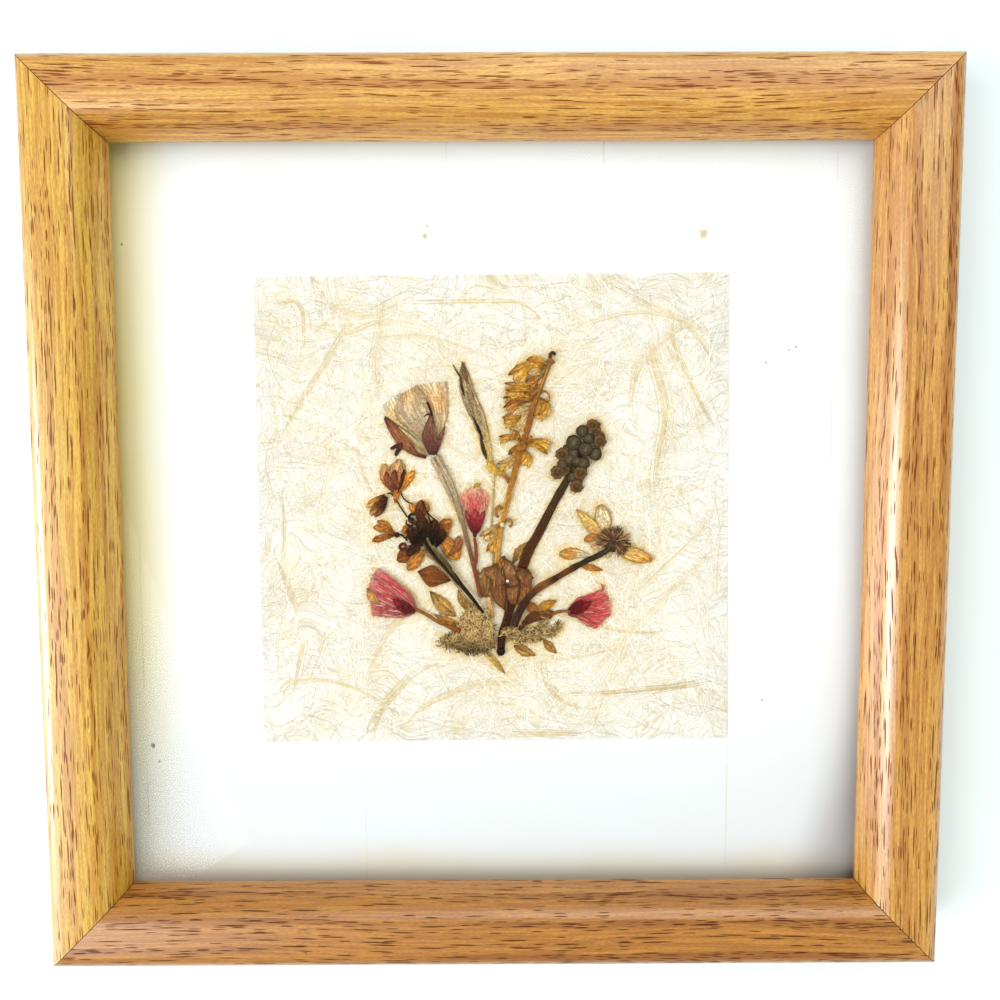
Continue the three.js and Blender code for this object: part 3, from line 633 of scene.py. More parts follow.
# ---------------------------------------------------------------- bell flower
# A large bell bloom pressed from the side: three crumpled petals gone the color of weak tea,
# held by maroon sepals, on a flat stem whose two ribs have split apart below the head.
bell_petal = pressed("bell petal, faded to beige", "#A18456", 7, 0.6, "#5A4B37", 0.65, 0.7, 0.4)
maroon_sepal = pressed("sepal, dried maroon", "#411C1C", 6, 0.6, "#361815", 0.5, 0.45)
olive_stem = pressed("soft stem, dried olive beige", "#7F6D43", 6, 0.6, "#685433", 0.35)
parts = [
    blade("-15.6,18.3 -15.2,24 -16.6,29 -18.5,33 -20.2,35.4",
          "-15.4,18.2 -12.9,24.1 -11.7,27.5 -11.6,32 -11.9,36.4", "#8E684A #BE9E78 #D0B286 #DCA25A #E0BA82",
          1, bell_petal, lift=0.02, crumple=0.07, pleats=3, margin="#DDC59C", ragged=0.03),
    blade("-16.9,17.6 -18.9,20.9 -23.5,24.4 -27.6,27.0 -28.5,30.4",
          "-16.8,18 -18,24.5 -21.2,29.3 -23.2,32 -24.2,33.4", "#85603F #A88A60 #C0A474 #E0B260 #E6C888", 1,
          bell_petal, lift=0.14, crumple=0.07, pleats=3, margin="#DDD5B2", ragged=0.03),
    blade("-16.8,17.6 -18.4,21.2 -22.6,24.6 -25.6,28.4 -23.8,33",
          "-15.9,17.6 -15.2,23.5 -15.7,28 -17.3,32.4 -20.0,35.2", "#8A6446 #AA8E6C #BEAA88 #C4B08C #D8BC88",
          1, bell_petal, lift=0.3, crumple=0.08, pleats=3, margin="#CDA06D", ragged=0.03),
    blade("-17.6,16.3 -21.2,17.4 -24.2,19.5 -26.6,22.8 -28.3,26.6",
          "-17.3,17.0 -19.7,18.2 -21.2,21.2 -23.8,24.4 -28.0,27.5", "#5E342A #90563A #A26640 #94583A #5E3628",
          1, maroon_sepal, lift=0.36, cup=-0.1),
    blade("-16.6,17.3 -18.4,21.6 -17.6,25.0 -15.9,28.6", "-15.1,17.3 -14.7,21 -15.1,25 -15.7,28.6",
          "#492C26 #6F4638 #855A47 #63392F", 1, maroon_sepal, lift=0.52, crumple=0.06),
    blade("-15.4,17.4 -15.0,20.6 -13.9,22.8 -12.5,24.8", "-14.6,17.4 -13.7,19.6 -12.9,22 -12.3,24.5",
          "#492C26 #794E40 #8E5F4E", 1, maroon_sepal, lift=0.5, crumple=0.05),
    stalk("-17.2,31.4 -16.4,29.6 -15.6,27.2", (0.5, 0.62, 0.5), "#402224 #331A1C", 1, maroon_sepal, lift=0.5,
          depth=0.4),
    stalk("-17.9,27.2 -16.9,27.9 -15.8,27.7", (0.3, 0.45, 0.4), "#462824 #331A1C", 1, maroon_sepal, lift=0.5,
          depth=0.4),
    leaf("-17.2,17.0 -20.4,21.0 -24.3,24.6", 0.9, STRAP, "#9B804E #CFBB7B #DBCD90", 1, bell_petal, lift=0.46,
         cup=0.05),
    stalk("-23.2,20.2 -25.2,19.6 -26.8,18.8", (1.1, 1.15, 0.9), "#674031 #402426 #351F24", 1, maroon_sepal,
          lift=0.2, depth=0.45),
    stalk("-23.6,20.0 -24.8,18.4 -25.4,16.9", (1.2, 1.15, 0.9), "#674031 #442628 #3A2224", 1, maroon_sepal,
          lift=0.2, depth=0.45),
    stalk("-14.8,17.4 -12.4,12.6 -10.4,8.0 -9.0,3.8 -8.0,-0.6 -5.9,-9.0 -4.5,-15.2 -3.6,-19.8",
          (1.5, 1.7, 1.6, 1.3, 1.1, 1.1, 1.1, 1.0), "#A9936C #BAA581 #AE9B76 #9A7F5E #835D47 #74503F #6E493B",
          1, olive_stem, depth=0.42),
    stalk("-16.0,16.7 -13.4,11.4 -11.4,6.8 -9.6,2.6 -8.5,-1.0", (1.0, 1.2, 0.9, 0.6, 0.3),
          "#BBA783 #C9B593 #BEA983 #A99372", 1, olive_stem, depth=0.4, lift=0.03),
]
gather(parts, "bell_flower")


# ---------------------------------------------------------------- grass spike
# A stiff seed spike with half of its husks open, mottled beige and dark brown, on a wiry straw
# stem. At its foot an ochre joint bends off into a short side shoot.
husk = pressed("grass husk, dried and weathered", "#48331E", 5, 0.6, "#3C281C", 0.85, 0.65, 0.75)
# Midrib and width in mm, tints from base to tip, and height in its layer
HUSKS = [
    ("-1.6,16.0 -2.4,18.6 -3.3,22.0", 1.1, "#563727 #442B21", 0.2),
    ("-1.2,18.6 -2.0,22.0 -2.9,26.0", 1.3, "#CCAE76 #B79C6C", 0.14),
    ("-2.6,21.2 -3.8,24.2 -5.3,27.4", 0.75, "#36241D #412B21", 0.32),
    ("-3.0,24.6 -4.2,28.2 -5.2,31.6", 1.5, "#C0A570 #AB946C", 0.2),
    ("-4.7,26.6 -6.0,29.6 -7.4,33.4", 1.1, "#9E8765 #BBA076", 0.26),
    ("-5.0,30.0 -6.0,33.6 -6.7,37.4", 1.4, "#B0986E #9A805C", 0.24),
    ("-7.3,32.4 -8.0,35.0 -8.3,37.8", 0.7, "#442D23 #563C2D", 0.3),
    ("-6.4,35.6 -7.3,38.6 -7.9,41.5", 1.2, "#917552 #6C4E32", 0.3),
]
parts = [
    blade("-1.5,15.2 -3.2,20.6 -5.5,26.4 -7.3,30.3 -8.6,34.4 -8.7,38 -7.9,41.3",
          "-0.5,15.2 -0.8,20 -1.5,25.5 -2.8,29.5 -4.2,33.0 -5.7,37 -7.2,41.2",
          "#D2B572 #CFB27F #BB9F70 #C9AC76 #8C6C49", 1, husk, lift=0.06, crumple=0.1, ragged=0.12),
]
for route, width, tints, lift in HUSKS:
    parts.append(leaf(route, width, LEAF, tints, 1, husk, lift=lift, cup=-0.12, crumple=0.05))
parts += [
    stalk("-8.2,37.4 -9.2,38.8 -10.4,40.9", (0.5, 0.4, 0.2), "#442F23 #684E36", 1, husk, lift=0.1),
    stalk("-2.0,25.8 -1.2,21.2 -0.7,17.0 -0.2,14.6", (0.5, 0.8, 0.9, 1.1), "#C3A762 #DABD70 #D6B358", 1,
          straw_skin, depth=0.5, lift=0.05),
    stalk("-1.0,15.8 -0.2,13.9 1.5,12.6 2.9,12.0 4.0,10.5 3.8,9.8", (1.2, 1.9, 1.7, 1.3, 1.0, 0.9),
          "#C39433 #D8A73D #DFB14A #C38833 #93582C #824B2C", 1, straw_skin, depth=0.5, lift=0.1, knobs=0.14),
    stalk("1.6,12.9 3.5,14.6 5.0,16.6 5.8,18.4", (1.2, 1.0, 0.8, 0.6), "#CF9C42 #CA9440 #A4703A", 1,
          straw_skin, depth=0.5, lift=0.06, knobs=0.12),
    stalk("0.2,12.2 0.0,7.0 -0.3,1.3 -0.8,-5.4 -0.1,-10.7 -1.6,-18", (0.5, 0.5, 0.5, 0.6),
          "#DFC588 #DABF7E #C3A56C #936C46", 1, straw_skin),
]
gather(parts, "grass_spike")


# ---------------------------------------------------------------- grape hyacinth
# A fleshy stem and a head of round florets that dried nearly black. Each is a flattened bead with
# a raised rim round a sunken middle; the outer ones show reddish brown and have frilled mouths.
floret_skin = pressed("fleshy floret, dried almost black", "#2E2714", 3, 0.3, "#736037", 0.3, 0.45, 0.5)
fleshy_stem = pressed("fleshy stem, dried blackish brown", "#1B100A", 6, 0.5, "#644F3B", 0.3, 0.4, 0.3)


def bead(x, y, radius, tints, layer, material, lift=0.0, frill=0.0, dimple=0.32, squash=0.5):
    """A flattened round floret with a sunken middle and a frilled rim, in mm."""
    deselect()
    bpy.ops.mesh.primitive_uv_sphere_add(segments=24, ring_count=14, radius=1)
    piece = bpy.context.object
    points = points_of(piece).astype(float)
    out = np.hypot(points[:, 0], points[:, 1])
    turn = np.arctan2(points[:, 1], points[:, 0])
    spread = radius * (1 + 0.6 * frill * out * np.sin(8 * turn + x) + 0.04 * out * np.sin(3 * turn + y))
    flat = np.array([x, y]) + points[:, :2] * spread[:, None]
    sunk = np.where(points[:, 2] > 0, dimple * np.exp(-((out / 0.62) ** 4)), 0)
    rise = radius * squash * (points[:, 2] + 0.95 - sunk)
    height = resting(flat, layer) + lift + np.maximum(rise, 0)
    set_points(piece, np.column_stack([flat, height]) * mm)
    paint(piece, out, tints)
    piece.data.materials.append(material)
    return piece


INKY = "#605844 #544C3A #4E4636 #463E2C #3E3624 #322A1A"
RUSTY = "#4C3C28 #463420 #4C361E #5E4226 #6E5030 #54381E"
# Place and radius in mm, tints from middle to rim, height in its layer, and how frilled
FLORETS = [
    (25.9, 25.0, 1.55, RUSTY, 0.1, 0.08), (23.2, 23.4, 1.6, INKY, 0.3, 0.0),
    (21.0, 20.4, 2.05, INKY, 0.4, 0.0), (27.0, 23.2, 1.35, RUSTY, 0.1, 0.1),
    (27.8, 20.8, 1.7, RUSTY, 0.2, 0.14), (24.1, 18.7, 1.9, INKY, 0.6, 0.0),
    (26.7, 17.4, 1.75, INKY, 0.2, 0.0), (18.1, 17.4, 1.8, RUSTY, 0.1, 0.06),
    (21.0, 17.6, 1.5, INKY, 0.3, 0.05), (19.9, 16.0, 1.5, INKY, 0.3, 0.05),
    (16.8, 12.7, 1.8, RUSTY, 0.1, 0.12), (18.1, 14.6, 1.5, INKY, 0.2, 0.1),
    (23.6, 15.0, 1.65, INKY, 0.3, 0.05), (22.8, 12.5, 1.8, RUSTY, 0.2, 0.08),
    (21.8, 9.0, 1.75, RUSTY, 0.1, 0.14), (19.0, 13.2, 1.2, RUSTY, 0.2, 0.1),
    (20.6, 11.4, 1.3, INKY, 0.2, 0.1), (19.4, 18.9, 1.2, INKY, 0.2, 0.1),
    (28.3, 22.2, 0.9, RUSTY, 0.2, 0.14), (27.3, 25.0, 0.8, RUSTY, 0.2, 0.14),
    (22.4, 10.6, 1.1, RUSTY, 0.3, 0.1), (24.9, 21.4, 1.4, INKY, 0.5, 0.05),
    (25.3, 23.2, 1.2, INKY, 0.3, 0.08), (21.9, 15.5, 1.3, INKY, 0.5, 0.05),
]
parts = []
for x, y, radius, tints, lift, frill in FLORETS:
    parts.append(bead(x, y, radius, tints, 1, floret_skin, lift, frill + 0.05, 0.2, 0.42))
parts += [
    stalk("25.0,21.5 22.4,16.4 20.4,12.7 18.6,9.3 16.5,5.6 13.9,0.6 11.5,-4.1 "
          "9.2,-8.1 7.5,-12.9 6.0,-17.4 4.8,-21.7 3.4,-26.9 2.2,-31.4 1.9,-34.9",
          (1.2, 1.6, 1.9, 2.0, 2.1, 2.3, 2.5, 2.7, 2.8, 2.8, 2.6, 2.4, 2.3, 2.0),
          "#443E23 #3E341B #402F17 #482B17 #4F2D16 #48250D #402112 #35180D #2C140D", 1, fleshy_stem,
          depth=0.26, knobs=0.04),
    stalk("2.0,-33.6 1.9,-34.9 2.1,-36.1", (1.7, 2.2, 1.4), "#150E0A #100B08 #1B120E", 1, fleshy_stem,
          depth=0.42, lift=0.2),
]
gather(parts, "grape_hyacinth")


# ---------------------------------------------------------------- brown leaf cluster
# Broad leaves folded over each other across the hyacinth's stem, dried to brown parchment. Darker
# bands show where they lie double, and a pale crumb lies on the middle one.
parts = [
    blade("3.4,-24.2 0.4,-21.4 -0.9,-18.6 -0.6,-15.8 -2.6,-13.6 0.8,-11.0",
          "3.6,-24.0 3.8,-21.2 3.2,-18.0 3.4,-15.2 2.8,-13.0 2.0,-11.6",
          "#6E4426 #8A5C34 #7A4E2A #9C6E42 #7A4E2C", 2, brown_leaf, lift=0.62, crumple=0.1, margin="#5A3A20",
          ragged=0.08),
    blade("4.2,-21.8 3.2,-18.8 3.8,-16.0 1.8,-13.4 3.0,-11.0 1.6,-9.0",
          "6.9,-22.4 9.0,-20.0 8.6,-16.6 8.0,-14.0 6.2,-12.2 4.6,-10.6",
          "#7A4C2A #9A6A3C #84552E #A87A4C #7E5430", 2, brown_leaf, lift=0.8, crumple=0.12, margin="#5A3A20",
          ragged=0.1),
    blade("6.6,-22.6 6.2,-19.6 7.0,-16.8 5.6,-14.6 6.4,-12.2",
          "8.8,-21.2 10.6,-19.0 10.0,-16.4 10.4,-14.6 9.4,-12.8", "#8A5228 #9A6232 #7E4E2A #94643A #6A4424",
          2, brown_leaf, lift=0.95, crumple=0.09, margin="#50301A", ragged=0.1),
    blade("-3.4,-20.4 -4.0,-17.8 -4.6,-15.6 -2.6,-12.4", "-1.4,-20.0 -1.0,-17.0 -0.8,-14.6 0.2,-11.8",
          "#6E4A2A #8E6438 #9C7444 #7E5630", 2, brown_leaf, lift=0.3, crumple=0.09, ragged=0.1),
    leaf("3.0,-23.6 3.4,-18.0 2.4,-11.4", 0.5, STRAP, "#4A2E1A #5E3C22 #6E4A2A", 2, brown_leaf, lift=0.88),
    leaf("6.0,-22.0 7.0,-17.4 5.2,-11.6", 0.45, STRAP, "#4A2E1A #5E3C22 #6E4A2A", 2, brown_leaf, lift=1.02),
    leaf("2.2,-16.6 4.6,-17.4 8.0,-16.4", 0.4, STRAP, "#4A2E1A #6A4626 #5A3A20", 2, brown_leaf, lift=1.08),
    bead(3.7, -15.9, 0.42, "#FFF8E8 #FFF4DC", 2, straw_skin, lift=1.12, frill=0.3, dimple=0.0, squash=0.1),
    leaf("9.0,-21.6 10.4,-23.6 10.9,-25.6", 2.9, LEAF, "#94582C #AA6C36 #86542E", 2, brown_leaf, lift=0.1,
         cup=0.1),
]
gather(parts, "brown_leaf_cluster")


# ---------------------------------------------------------------- golden raceme
# A leaning flower spike, dried to tan with a redder top. Its curled yellow florets have mostly
# swung to the left; lower down only a few twisted remains are left on the stem.
gold_floret = pressed("raceme petal, dried golden", "#AD6F1F", 6, 0.65, "#784817", 0.5, 0.5, 0.5)
tan_stem = pressed("woody stem, dried to tan", "#8A531F", 6, 0.6, "#663A17", 0.45, 0.45, 0.4)
GOLD = "#7E5024 #DDA23E #E6B45A"
PALE = "#94703A #DCC084 #E0BE70"
RUST = "#5C3820 #AE7030 #D89C4C"
# Midrib and width in mm, tints from base to tip, and height in its layer
RACEME = [
    ("14.2,40.6 12.0,41.2 9.4,40.1", 1.9, GOLD, 0.3),
    ("13.6,39.9 10.2,40.4 7.2,38.5 5.5,36.5", 2.1, GOLD, 0.15),
    ("12.8,39.4 11.6,38.2 10.4,36.8", 2.0, PALE, 0.35),
    ("13.2,38.2 10.6,36.4 9.2,35.4", 1.2, RUST, 0.4),
    ("12.1,35.6 8.8,35.3 5.8,34.1 3.2,34.5", 1.4, GOLD, 0.1),
    ("11.7,34.6 8.8,33.7 5.8,33.1 3.6,32.8", 1.3, GOLD, 0.3),
    ("11.0,31.8 8.0,32.0 5.2,31.8 3.2,30.7", 1.5, RUST, 0.15),
    ("10.4,31.2 7.4,31.4 4.9,30.0 3.6,28.6", 1.3, RUST, 0.35),
    ("11.8,33.4 9.6,32.4 8.0,32.6", 1.0, RUST, 0.45),
    ("10.2,29.8 7.8,28.2 6.2,26.2 5.4,24.6", 2.9, PALE, 0.2),
    ("7.4,27.4 5.0,26.2 2.9,25.6", 1.5, GOLD, 0.3),
    ("9.0,25.0 7.4,23.6 5.2,22.4", 1.9, PALE, 0.25),
    ("7.6,21.0 4.8,21.8 1.7,21.2", 0.9, GOLD, 0.25),
    ("7.4,20.8 6.2,22.6 5.0,23.2", 0.8, RUST, 0.3),
    ("7.0,20.2 5.8,18.4 5.2,16.8", 1.3, RUST, 0.35),
    ("7.8,19.6 10.8,20.4 14.9,18.8", 1.6, GOLD, 0.25),
    ("7.9,20.0 9.4,21.6 10.4,21.4", 0.8, RUST, 0.35),
    ("8.0,19.0 8.8,16.8 7.8,14.5", 1.6, GOLD, 0.2),
    ("6.4,18.4 4.4,15.6 1.7,13.9", 1.2, PALE, 0.15),
    ("12.0,31.8 12.8,29.2 11.4,26.5", 1.4, GOLD, 0.2),
    ("12.2,32.0 13.9,30.6 13.1,27.2", 1.3, GOLD, 0.35),
    ("1.9,-0.4 0.2,-2.4 -2.4,-5.2", 1.7, PALE, 0.2),
    ("1.5,-1.0 0.6,-3.2 -1.0,-4.6", 1.2, GOLD, 0.3),
    ("1.2,-3.4 0.0,-5.8 -0.6,-8.4", 1.2, GOLD, 0.2),
    ("3.0,-9.2 2.4,-11.0 2.8,-12.4", 1.5, RUST, 0.5),
]
TAN = "#7C4C23 #BD8133 #8A5323"
BLACKENED = "#6A5A38 #2E2A20 #3A3020"
# Twisted stalks: route and widths in mm, tints, and height in its layer
CURLS = [
    ("12.2,33.4 13.6,33.7 14.7,32.6 14.5,31.2 13.3,31.0", (0.6, 0.5, 0.4), TAN, 0.4),
    ("2.5,2.8 1.7,3.9 0.8,3.0 1.0,1.4 1.8,0.9", (0.7, 0.9, 0.7), TAN, 0.3),
    ("2.6,-0.6 3.8,0.4 4.9,-0.3 4.7,-1.4 3.9,-1.4", (0.7, 0.8, 0.6), TAN, 0.3),
    ("13.6,41.3 14.9,41.8 16.0,41.2 15.2,40.7", (0.5, 0.8, 0.5), TAN, 0.4),
    ("14.8,42.0 15.0,43.3 15.9,43.6 16.1,42.7", (0.8, 0.9, 0.7), BLACKENED, 0.3),
    ("7.2,21.2 8.4,19.4 6.6,19.0 7.4,21.4", (0.9, 1.1, 0.9), TAN, 0.4),
]
parts = [
    stalk("15.3,42.4 14.9,41.2 13.9,38.6 12.1,34.0 10.5,29.8 9.2,24.7 7.9,20.3 "
          "6.6,16.4 5.2,10.8 3.7,5.0 2.0,-2.2 1.1,-9.7 0.2,-18.0",
          (0.9, 1.3, 1.55, 1.6, 1.6, 1.5, 1.4, 1.3, 1.2),
          "#8E7040 #AC7430 #9A5E2A #9E6428 #B4782E #C48C38 #CC983E #D0A04C #C69644", 3, tan_stem, depth=0.4),
    bead(2.4, -1.1, 0.55, "#F7F7C7 #F7E196", 3, straw_skin, lift=0.5, dimple=0.1),
]
for route, width, tints, lift in RACEME:
    parts.append(leaf(route, 1.3 * width, PETAL, tints, 3, gold_floret, lift=lift, cup=0.22, crumple=0.14,
                      ragged=0.12))
    aside = 0.5 * width * sideways(curve(route, 3)) * np.array([[0], [1.0], [1.9]])
    for side, shades in ((-1, " ".join(tints.split()[::-1])), (1, tints)):
        parts.append(leaf(curve(route, 3) + side * aside, 0.75 * width, PETAL, shades, 3,
                          gold_floret, lift=lift + 0.1, cup=0.1, crumple=0.1, ragged=0.2))
for route, widths, tints, lift in CURLS:
    parts.append(stalk(route, widths, tints, 3, tan_stem, lift=lift))
gather(parts, "golden_raceme")


# ---------------------------------------------------------------- pink bud
# A strawflower bud that kept its pink: petals with pale rims closed round a red heart,
# over a cone of maroon bracts, on a thin reddish stem.
pink_petal = pressed("paper-dry petal, still pink", "#F7C4A4", 7, 0.85, "#8C1A24", 0.4, 0.5, 0.5)
parts = [
    blade("-4.9,-2.4 -7.2,2 -8.5,5 -8.7,7.3", "-4.7,-2.2 -5.2,2 -5.8,6 -6.2,8.6",
          "#842223 #B03034 #BE3C3C #CE6456", 3, pink_petal, crumple=0.06, margin="#E6AF85"),
    blade("-4.8,-2.2 -4.4,2 -3.9,6 -3.2,8.6", "-4.6,-2.4 -2.4,1.4 -1.1,4.6 -1.3,7.0",
          "#842223 #B03034 #C84440 #D87060", 3, pink_petal, crumple=0.06, margin="#E6AF85"),
    blade("-4.9,-2 -7.2,2.5 -7.4,5.8 -6.0,8.8", "-4.6,-2 -2.4,2.5 -2.2,5.8 -3.6,9.0",
          "#8E2226 #C03238 #CC3E40 #DA6656", 3, pink_petal, lift=0.14, crumple=0.07, margin="#E6B78C"),
    blade("-4.9,-1 -6.7,2.6 -6.6,5.4 -5.2,7.4", "-4.7,-1 -3.0,2.6 -3.0,5.4 -4.4,7.4",
          "#8E1C26 #BA2430 #C42E3A #CE4446", 3, pink_petal, lift=0.34, crumple=0.07, margin="#E69A81"),
    blade("-4.9,0.5 -5.9,3 -5.8,5 -5.0,6.2", "-4.8,0.5 -3.8,3 -3.8,5 -4.6,6.2",
          "#A01E28 #C0222C #CA2834 #C02430", 3, pink_petal, lift=0.5, crumple=0.06, margin="#E68C7E"),
    leaf("-4.9,-3.4 -5.9,-0.6 -7.2,2.8", 1.7, STRAP, "#6A2022 #8E2A32 #A84648", 3, maroon_sepal, lift=0.5),
    leaf("-4.7,-3.4 -3.5,-0.6 -2.2,2.8", 1.7, STRAP, "#6A2022 #8E2A32 #A84648", 3, maroon_sepal, lift=0.5),
    leaf("-4.8,-3.4 -4.8,-0.4 -4.7,3.0", 2.5, PETAL, "#6A2022 #90282E #B04844", 3, maroon_sepal, lift=0.62),
    leaf("-5.2,8.4 -4.4,9.4 -3.0,9.6", 0.9, LEAF, "#CF9F3E #E1B348 #BD8E38", 3, gold_floret, lift=0.2),
    stalk("-4.9,-2.6 -4.8,-3.8 -4.9,-4.4", (1.0, 1.2, 0.7), "#542423 #471E1B", 3, maroon_sepal, lift=0.4),
    stalk("-5.0,-4.3 -4.6,-6.6 -4.5,-9.6 -4.9,-12.4 -4.4,-15.6 -3.4,-20.4", (0.7, 0.95, 0.9, 0.9, 1.0),
          "#8A4129 #90482B #83412B #8E5333", 3, tan_stem),
]
gather(parts, "pink_bud")


# ---------------------------------------------------------------- seed pods
# Two split pods and an open bud case on hair-thin stalks, papery at the tips and dark at the base.
pod_skin = pressed("seed pod, dried papery brown", "#532911", 7, 0.7, "#341B0D", 0.3, 0.5, 0.45)
# Midrib and width in mm, tints from base to tip, and height in its layer
PODS = [
    ("-28.0,6.6 -29.6,4.6 -32.2,1.6", 2.6, "#412518 #643B21 #C89551", 0.2),
    ("-28.4,7.0 -30.6,5.6 -33.2,3.6", 1.8, "#53311C #C78535 #F4BF72", 0.1),
    ("-27.6,6.4 -28.8,3.6 -31.0,1.2", 1.5, "#341D15 #412518 #996032", 0.4),
    ("-25.6,-3.5 -28.6,-2.0 -31.4,-1.6", 2.3, "#7A4620 #BA732A #CC8739", 0.2),
    ("-25.6,-3.7 -28.4,-4.2 -31.8,-5.2", 1.9, "#64371C #B16C29 #995621", 0.1),
    ("-26.0,-3.3 -28.0,-0.8 -30.4,0.0", 1.2, "#874E23 #CC8739 #A46229", 0.05),
    ("-25.4,7.0 -27.6,11.0 -28.4,15.0", 3.6, "#A65B24 #C87F44 #CBA069", 0.05),
    ("-25.2,7.0 -25.0,12.0 -24.4,16.2", 4.4, "#A65B24 #CB884F #CBA672", 0.1),
    ("-24.9,7.0 -22.6,10.6 -20.5,13.2", 2.3, "#BA6A27 #DE8D35 #F4AC4D", 0.25),
    ("-25.4,7.4 -27.3,10.0 -27.9,13.0", 1.8, "#532B1E #995C3B #76402A", 0.3),
    ("-25.2,7.4 -25.8,10.4 -25.6,13.4", 1.9, "#45231A #874C34 #643123", 0.4),
    ("-24.9,7.4 -23.8,10.6 -23.2,13.6", 0.9, "#412118 #532B1E #341913", 0.45),
    ("-25.6,4.8 -25.4,6.4 -25.0,8.4", 1.7, "#BA6C2E #D47F35 #B1602A", 0.5),
]
THREADS = [
    ("-28.0,7.2 -26.8,7.3 -25.6,6.0 -24.2,3.6 -22.3,0.8", 0.42),
    ("-24.0,7.6 -23.7,6.4 -22.6,5.2 -20.6,4.2", 0.4),
    ("-25.4,-3.7 -24.2,-3.6 -23.2,-4.4 -22.4,-5.4", 0.55),
]
parts = [bead(-25.2, -3.6, 0.75, "#291711 #341D15", 3, pod_skin, lift=0.3, dimple=0.0)]
for route, width, tints, lift in PODS:
    parts.append(leaf(route, width, PETAL, tints, 3, pod_skin, lift=lift, cup=-0.2, crumple=0.07,
                      ragged=0.12))
for route, width in THREADS:
    parts.append(stalk(route, (width, width), "#392116 #452B1A", 3, pod_skin))
gather(parts, "seed_pods")


# ---------------------------------------------------------------- brown spray
# A branch whose middle has gone black, with amber leaves standing out all round it and a sheaf
# of wiry stems, some pale, that gather into one black stalk at the bundle.
black_leaf = pressed("leaf, dried almost black", "#150D08", 7, 0.5, "#4E3018", 0.4, 0.85, 0.6)
amber_pod = pressed("leaf, dried amber and brown", "#643516", 8, 0.65, "#452511", 0.5, 0.5, 0.6)
CHESTNUT = "#572D16 #764120 #8C5025"
COAL = "#120C09 #1E130D #4E2E1A"
# Midrib and width in mm, tints from base to tip, height in its layer, and skin
SPRAY = [
    ("-18.6,-5.6 -22.0,-8.2 -25.2,-10.6", 3.9, CHESTNUT, 0.1, amber_pod),
    ("-17.6,-7.4 -20.0,-10.0 -22.6,-12.9", 3.2, "#995C27 #CC8539 #BA7730", 0.25, amber_pod),
    ("-15.0,-3.0 -12.4,-5.6 -9.2,-10.2", 4.6, "#995C27 #C88535 #C37D2E", 0.1, amber_pod),
    ("-12.2,-9.6 -9.6,-7.0 -8.9,-4.0", 2.6, "#AA6C2E #9A5C34 #A46642", 0.2, amber_pod),
    ("-15.6,-3.4 -13.0,-1.4 -10.9,0.2", 3.3, "#532D18 #874C21 #CB8337", 0.2, amber_pod),
    ("-15.6,-4.6 -13.0,-3.2 -11.4,-2.6", 2.4, "#392318 #874C21 #BA7334", 0.3, amber_pod),
    ("-18.6,-1.2 -19.4,1.8 -18.6,5.6", 2.6, "#341F18 #532D1C #874C25", 0.3, amber_pod),
    ("-18.8,0.6 -20.6,2.6 -21.8,4.8", 2.0, "#643B1C #C37F32 #E69F48", 0.1, amber_pod),
    ("-18.4,1.2 -17.4,3.2 -18.4,5.2", 1.9, "#532D1C #BA772E #D89542", 0.15, amber_pod),
    ("-20.6,-3.0 -22.4,-2.4 -23.4,-1.2", 2.6, "#532D18 #A46229 #BA732E", 0.1, amber_pod),
    ("-19.8,-1.0 -21.4,0.2 -22.2,1.0", 1.6, "#341F18 #532F1C #764623", 0.2, amber_pod),
    ("-17.4,-6.4 -20.4,-4.8 -22.0,-1.2", 3.4, COAL, 0.35, black_leaf),
    ("-17.0,-7.2 -18.4,-3.2 -18.4,1.4", 3.8, COAL, 0.45, black_leaf),
    ("-16.0,-6.6 -15.8,-3.4 -15.4,0.4", 3.4, COAL, 0.5, black_leaf),
    ("-15.2,-6.8 -13.8,-4.6 -12.8,-2.2", 2.6, COAL, 0.42, black_leaf),
    ("-18.0,-5.0 -21.0,-7.0 -22.6,-9.2", 2.5, "#161010 #22161A #48281A", 0.4, black_leaf),
    ("-18.6,-3.6 -20.4,-6.0 -19.4,-8.0", 2.2, COAL, 0.5, black_leaf),
]
# Route and widths in mm, tints, and height in its layer
TWIGS = [
    ("-17.2,-5.2 -14.2,-9.2 -11.4,-12.6 -9.0,-16.2", (0.6, 0.8, 0.7, 0.5), "#7A6A40 #695834 #413523", 0.85),
    ("-16.2,-6.2 -13.2,-9.4 -10.8,-12.6", (0.5, 0.6, 0.5), "#998556 #76643D #53442A", 0.9),
    ("-19.6,-7.4 -15.4,-10.6 -12.2,-13.9 -9.4,-17.4 -7.0,-20.6 -5.2,-23.8", (0.5, 0.55, 0.5),
     "#9D7F48 #AD8F56 #B1955F #997D4B", 0.2),
    ("-16.0,-2.0 -17.0,1.8 -18.6,5.4", (0.5, 0.4, 0.3), "#2F1B15 #45251C", 0.6),
    ("-17.8,3.0 -16.2,1.2 -14.2,-0.4", (0.4, 0.4, 0.5), "#41271C #392318", 0.5),
    ("-22.6,-6.6 -23.6,-5.9 -24.6,-6.6 -24.0,-7.5 -22.9,-7.0 -21.6,-6.6 -19.6,-7.4", (0.7, 0.75, 0.7, 0.5),
     "#642D1E #57291C #997D4F", 0.2),
    ("-20.4,1.6 -21.4,1.9 -22.0,1.1 -21.4,0.4 -20.6,0.8", (0.6, 0.7, 0.6), "#341D16 #291713", 0.5),
    ("-22.6,0.6 -22.8,-0.6 -21.8,-1.2 -20.8,-1.0", (0.4, 0.45, 0.5), "#392118 #341F16", 0.3),
]
SHEAF = as_places("-18.2,-4.6 -16.4,-7.6 -13.6,-10.8 -10.9,-13.9 -8.4,-17.0 -5.4,-20.6 -2.6,-24.4")
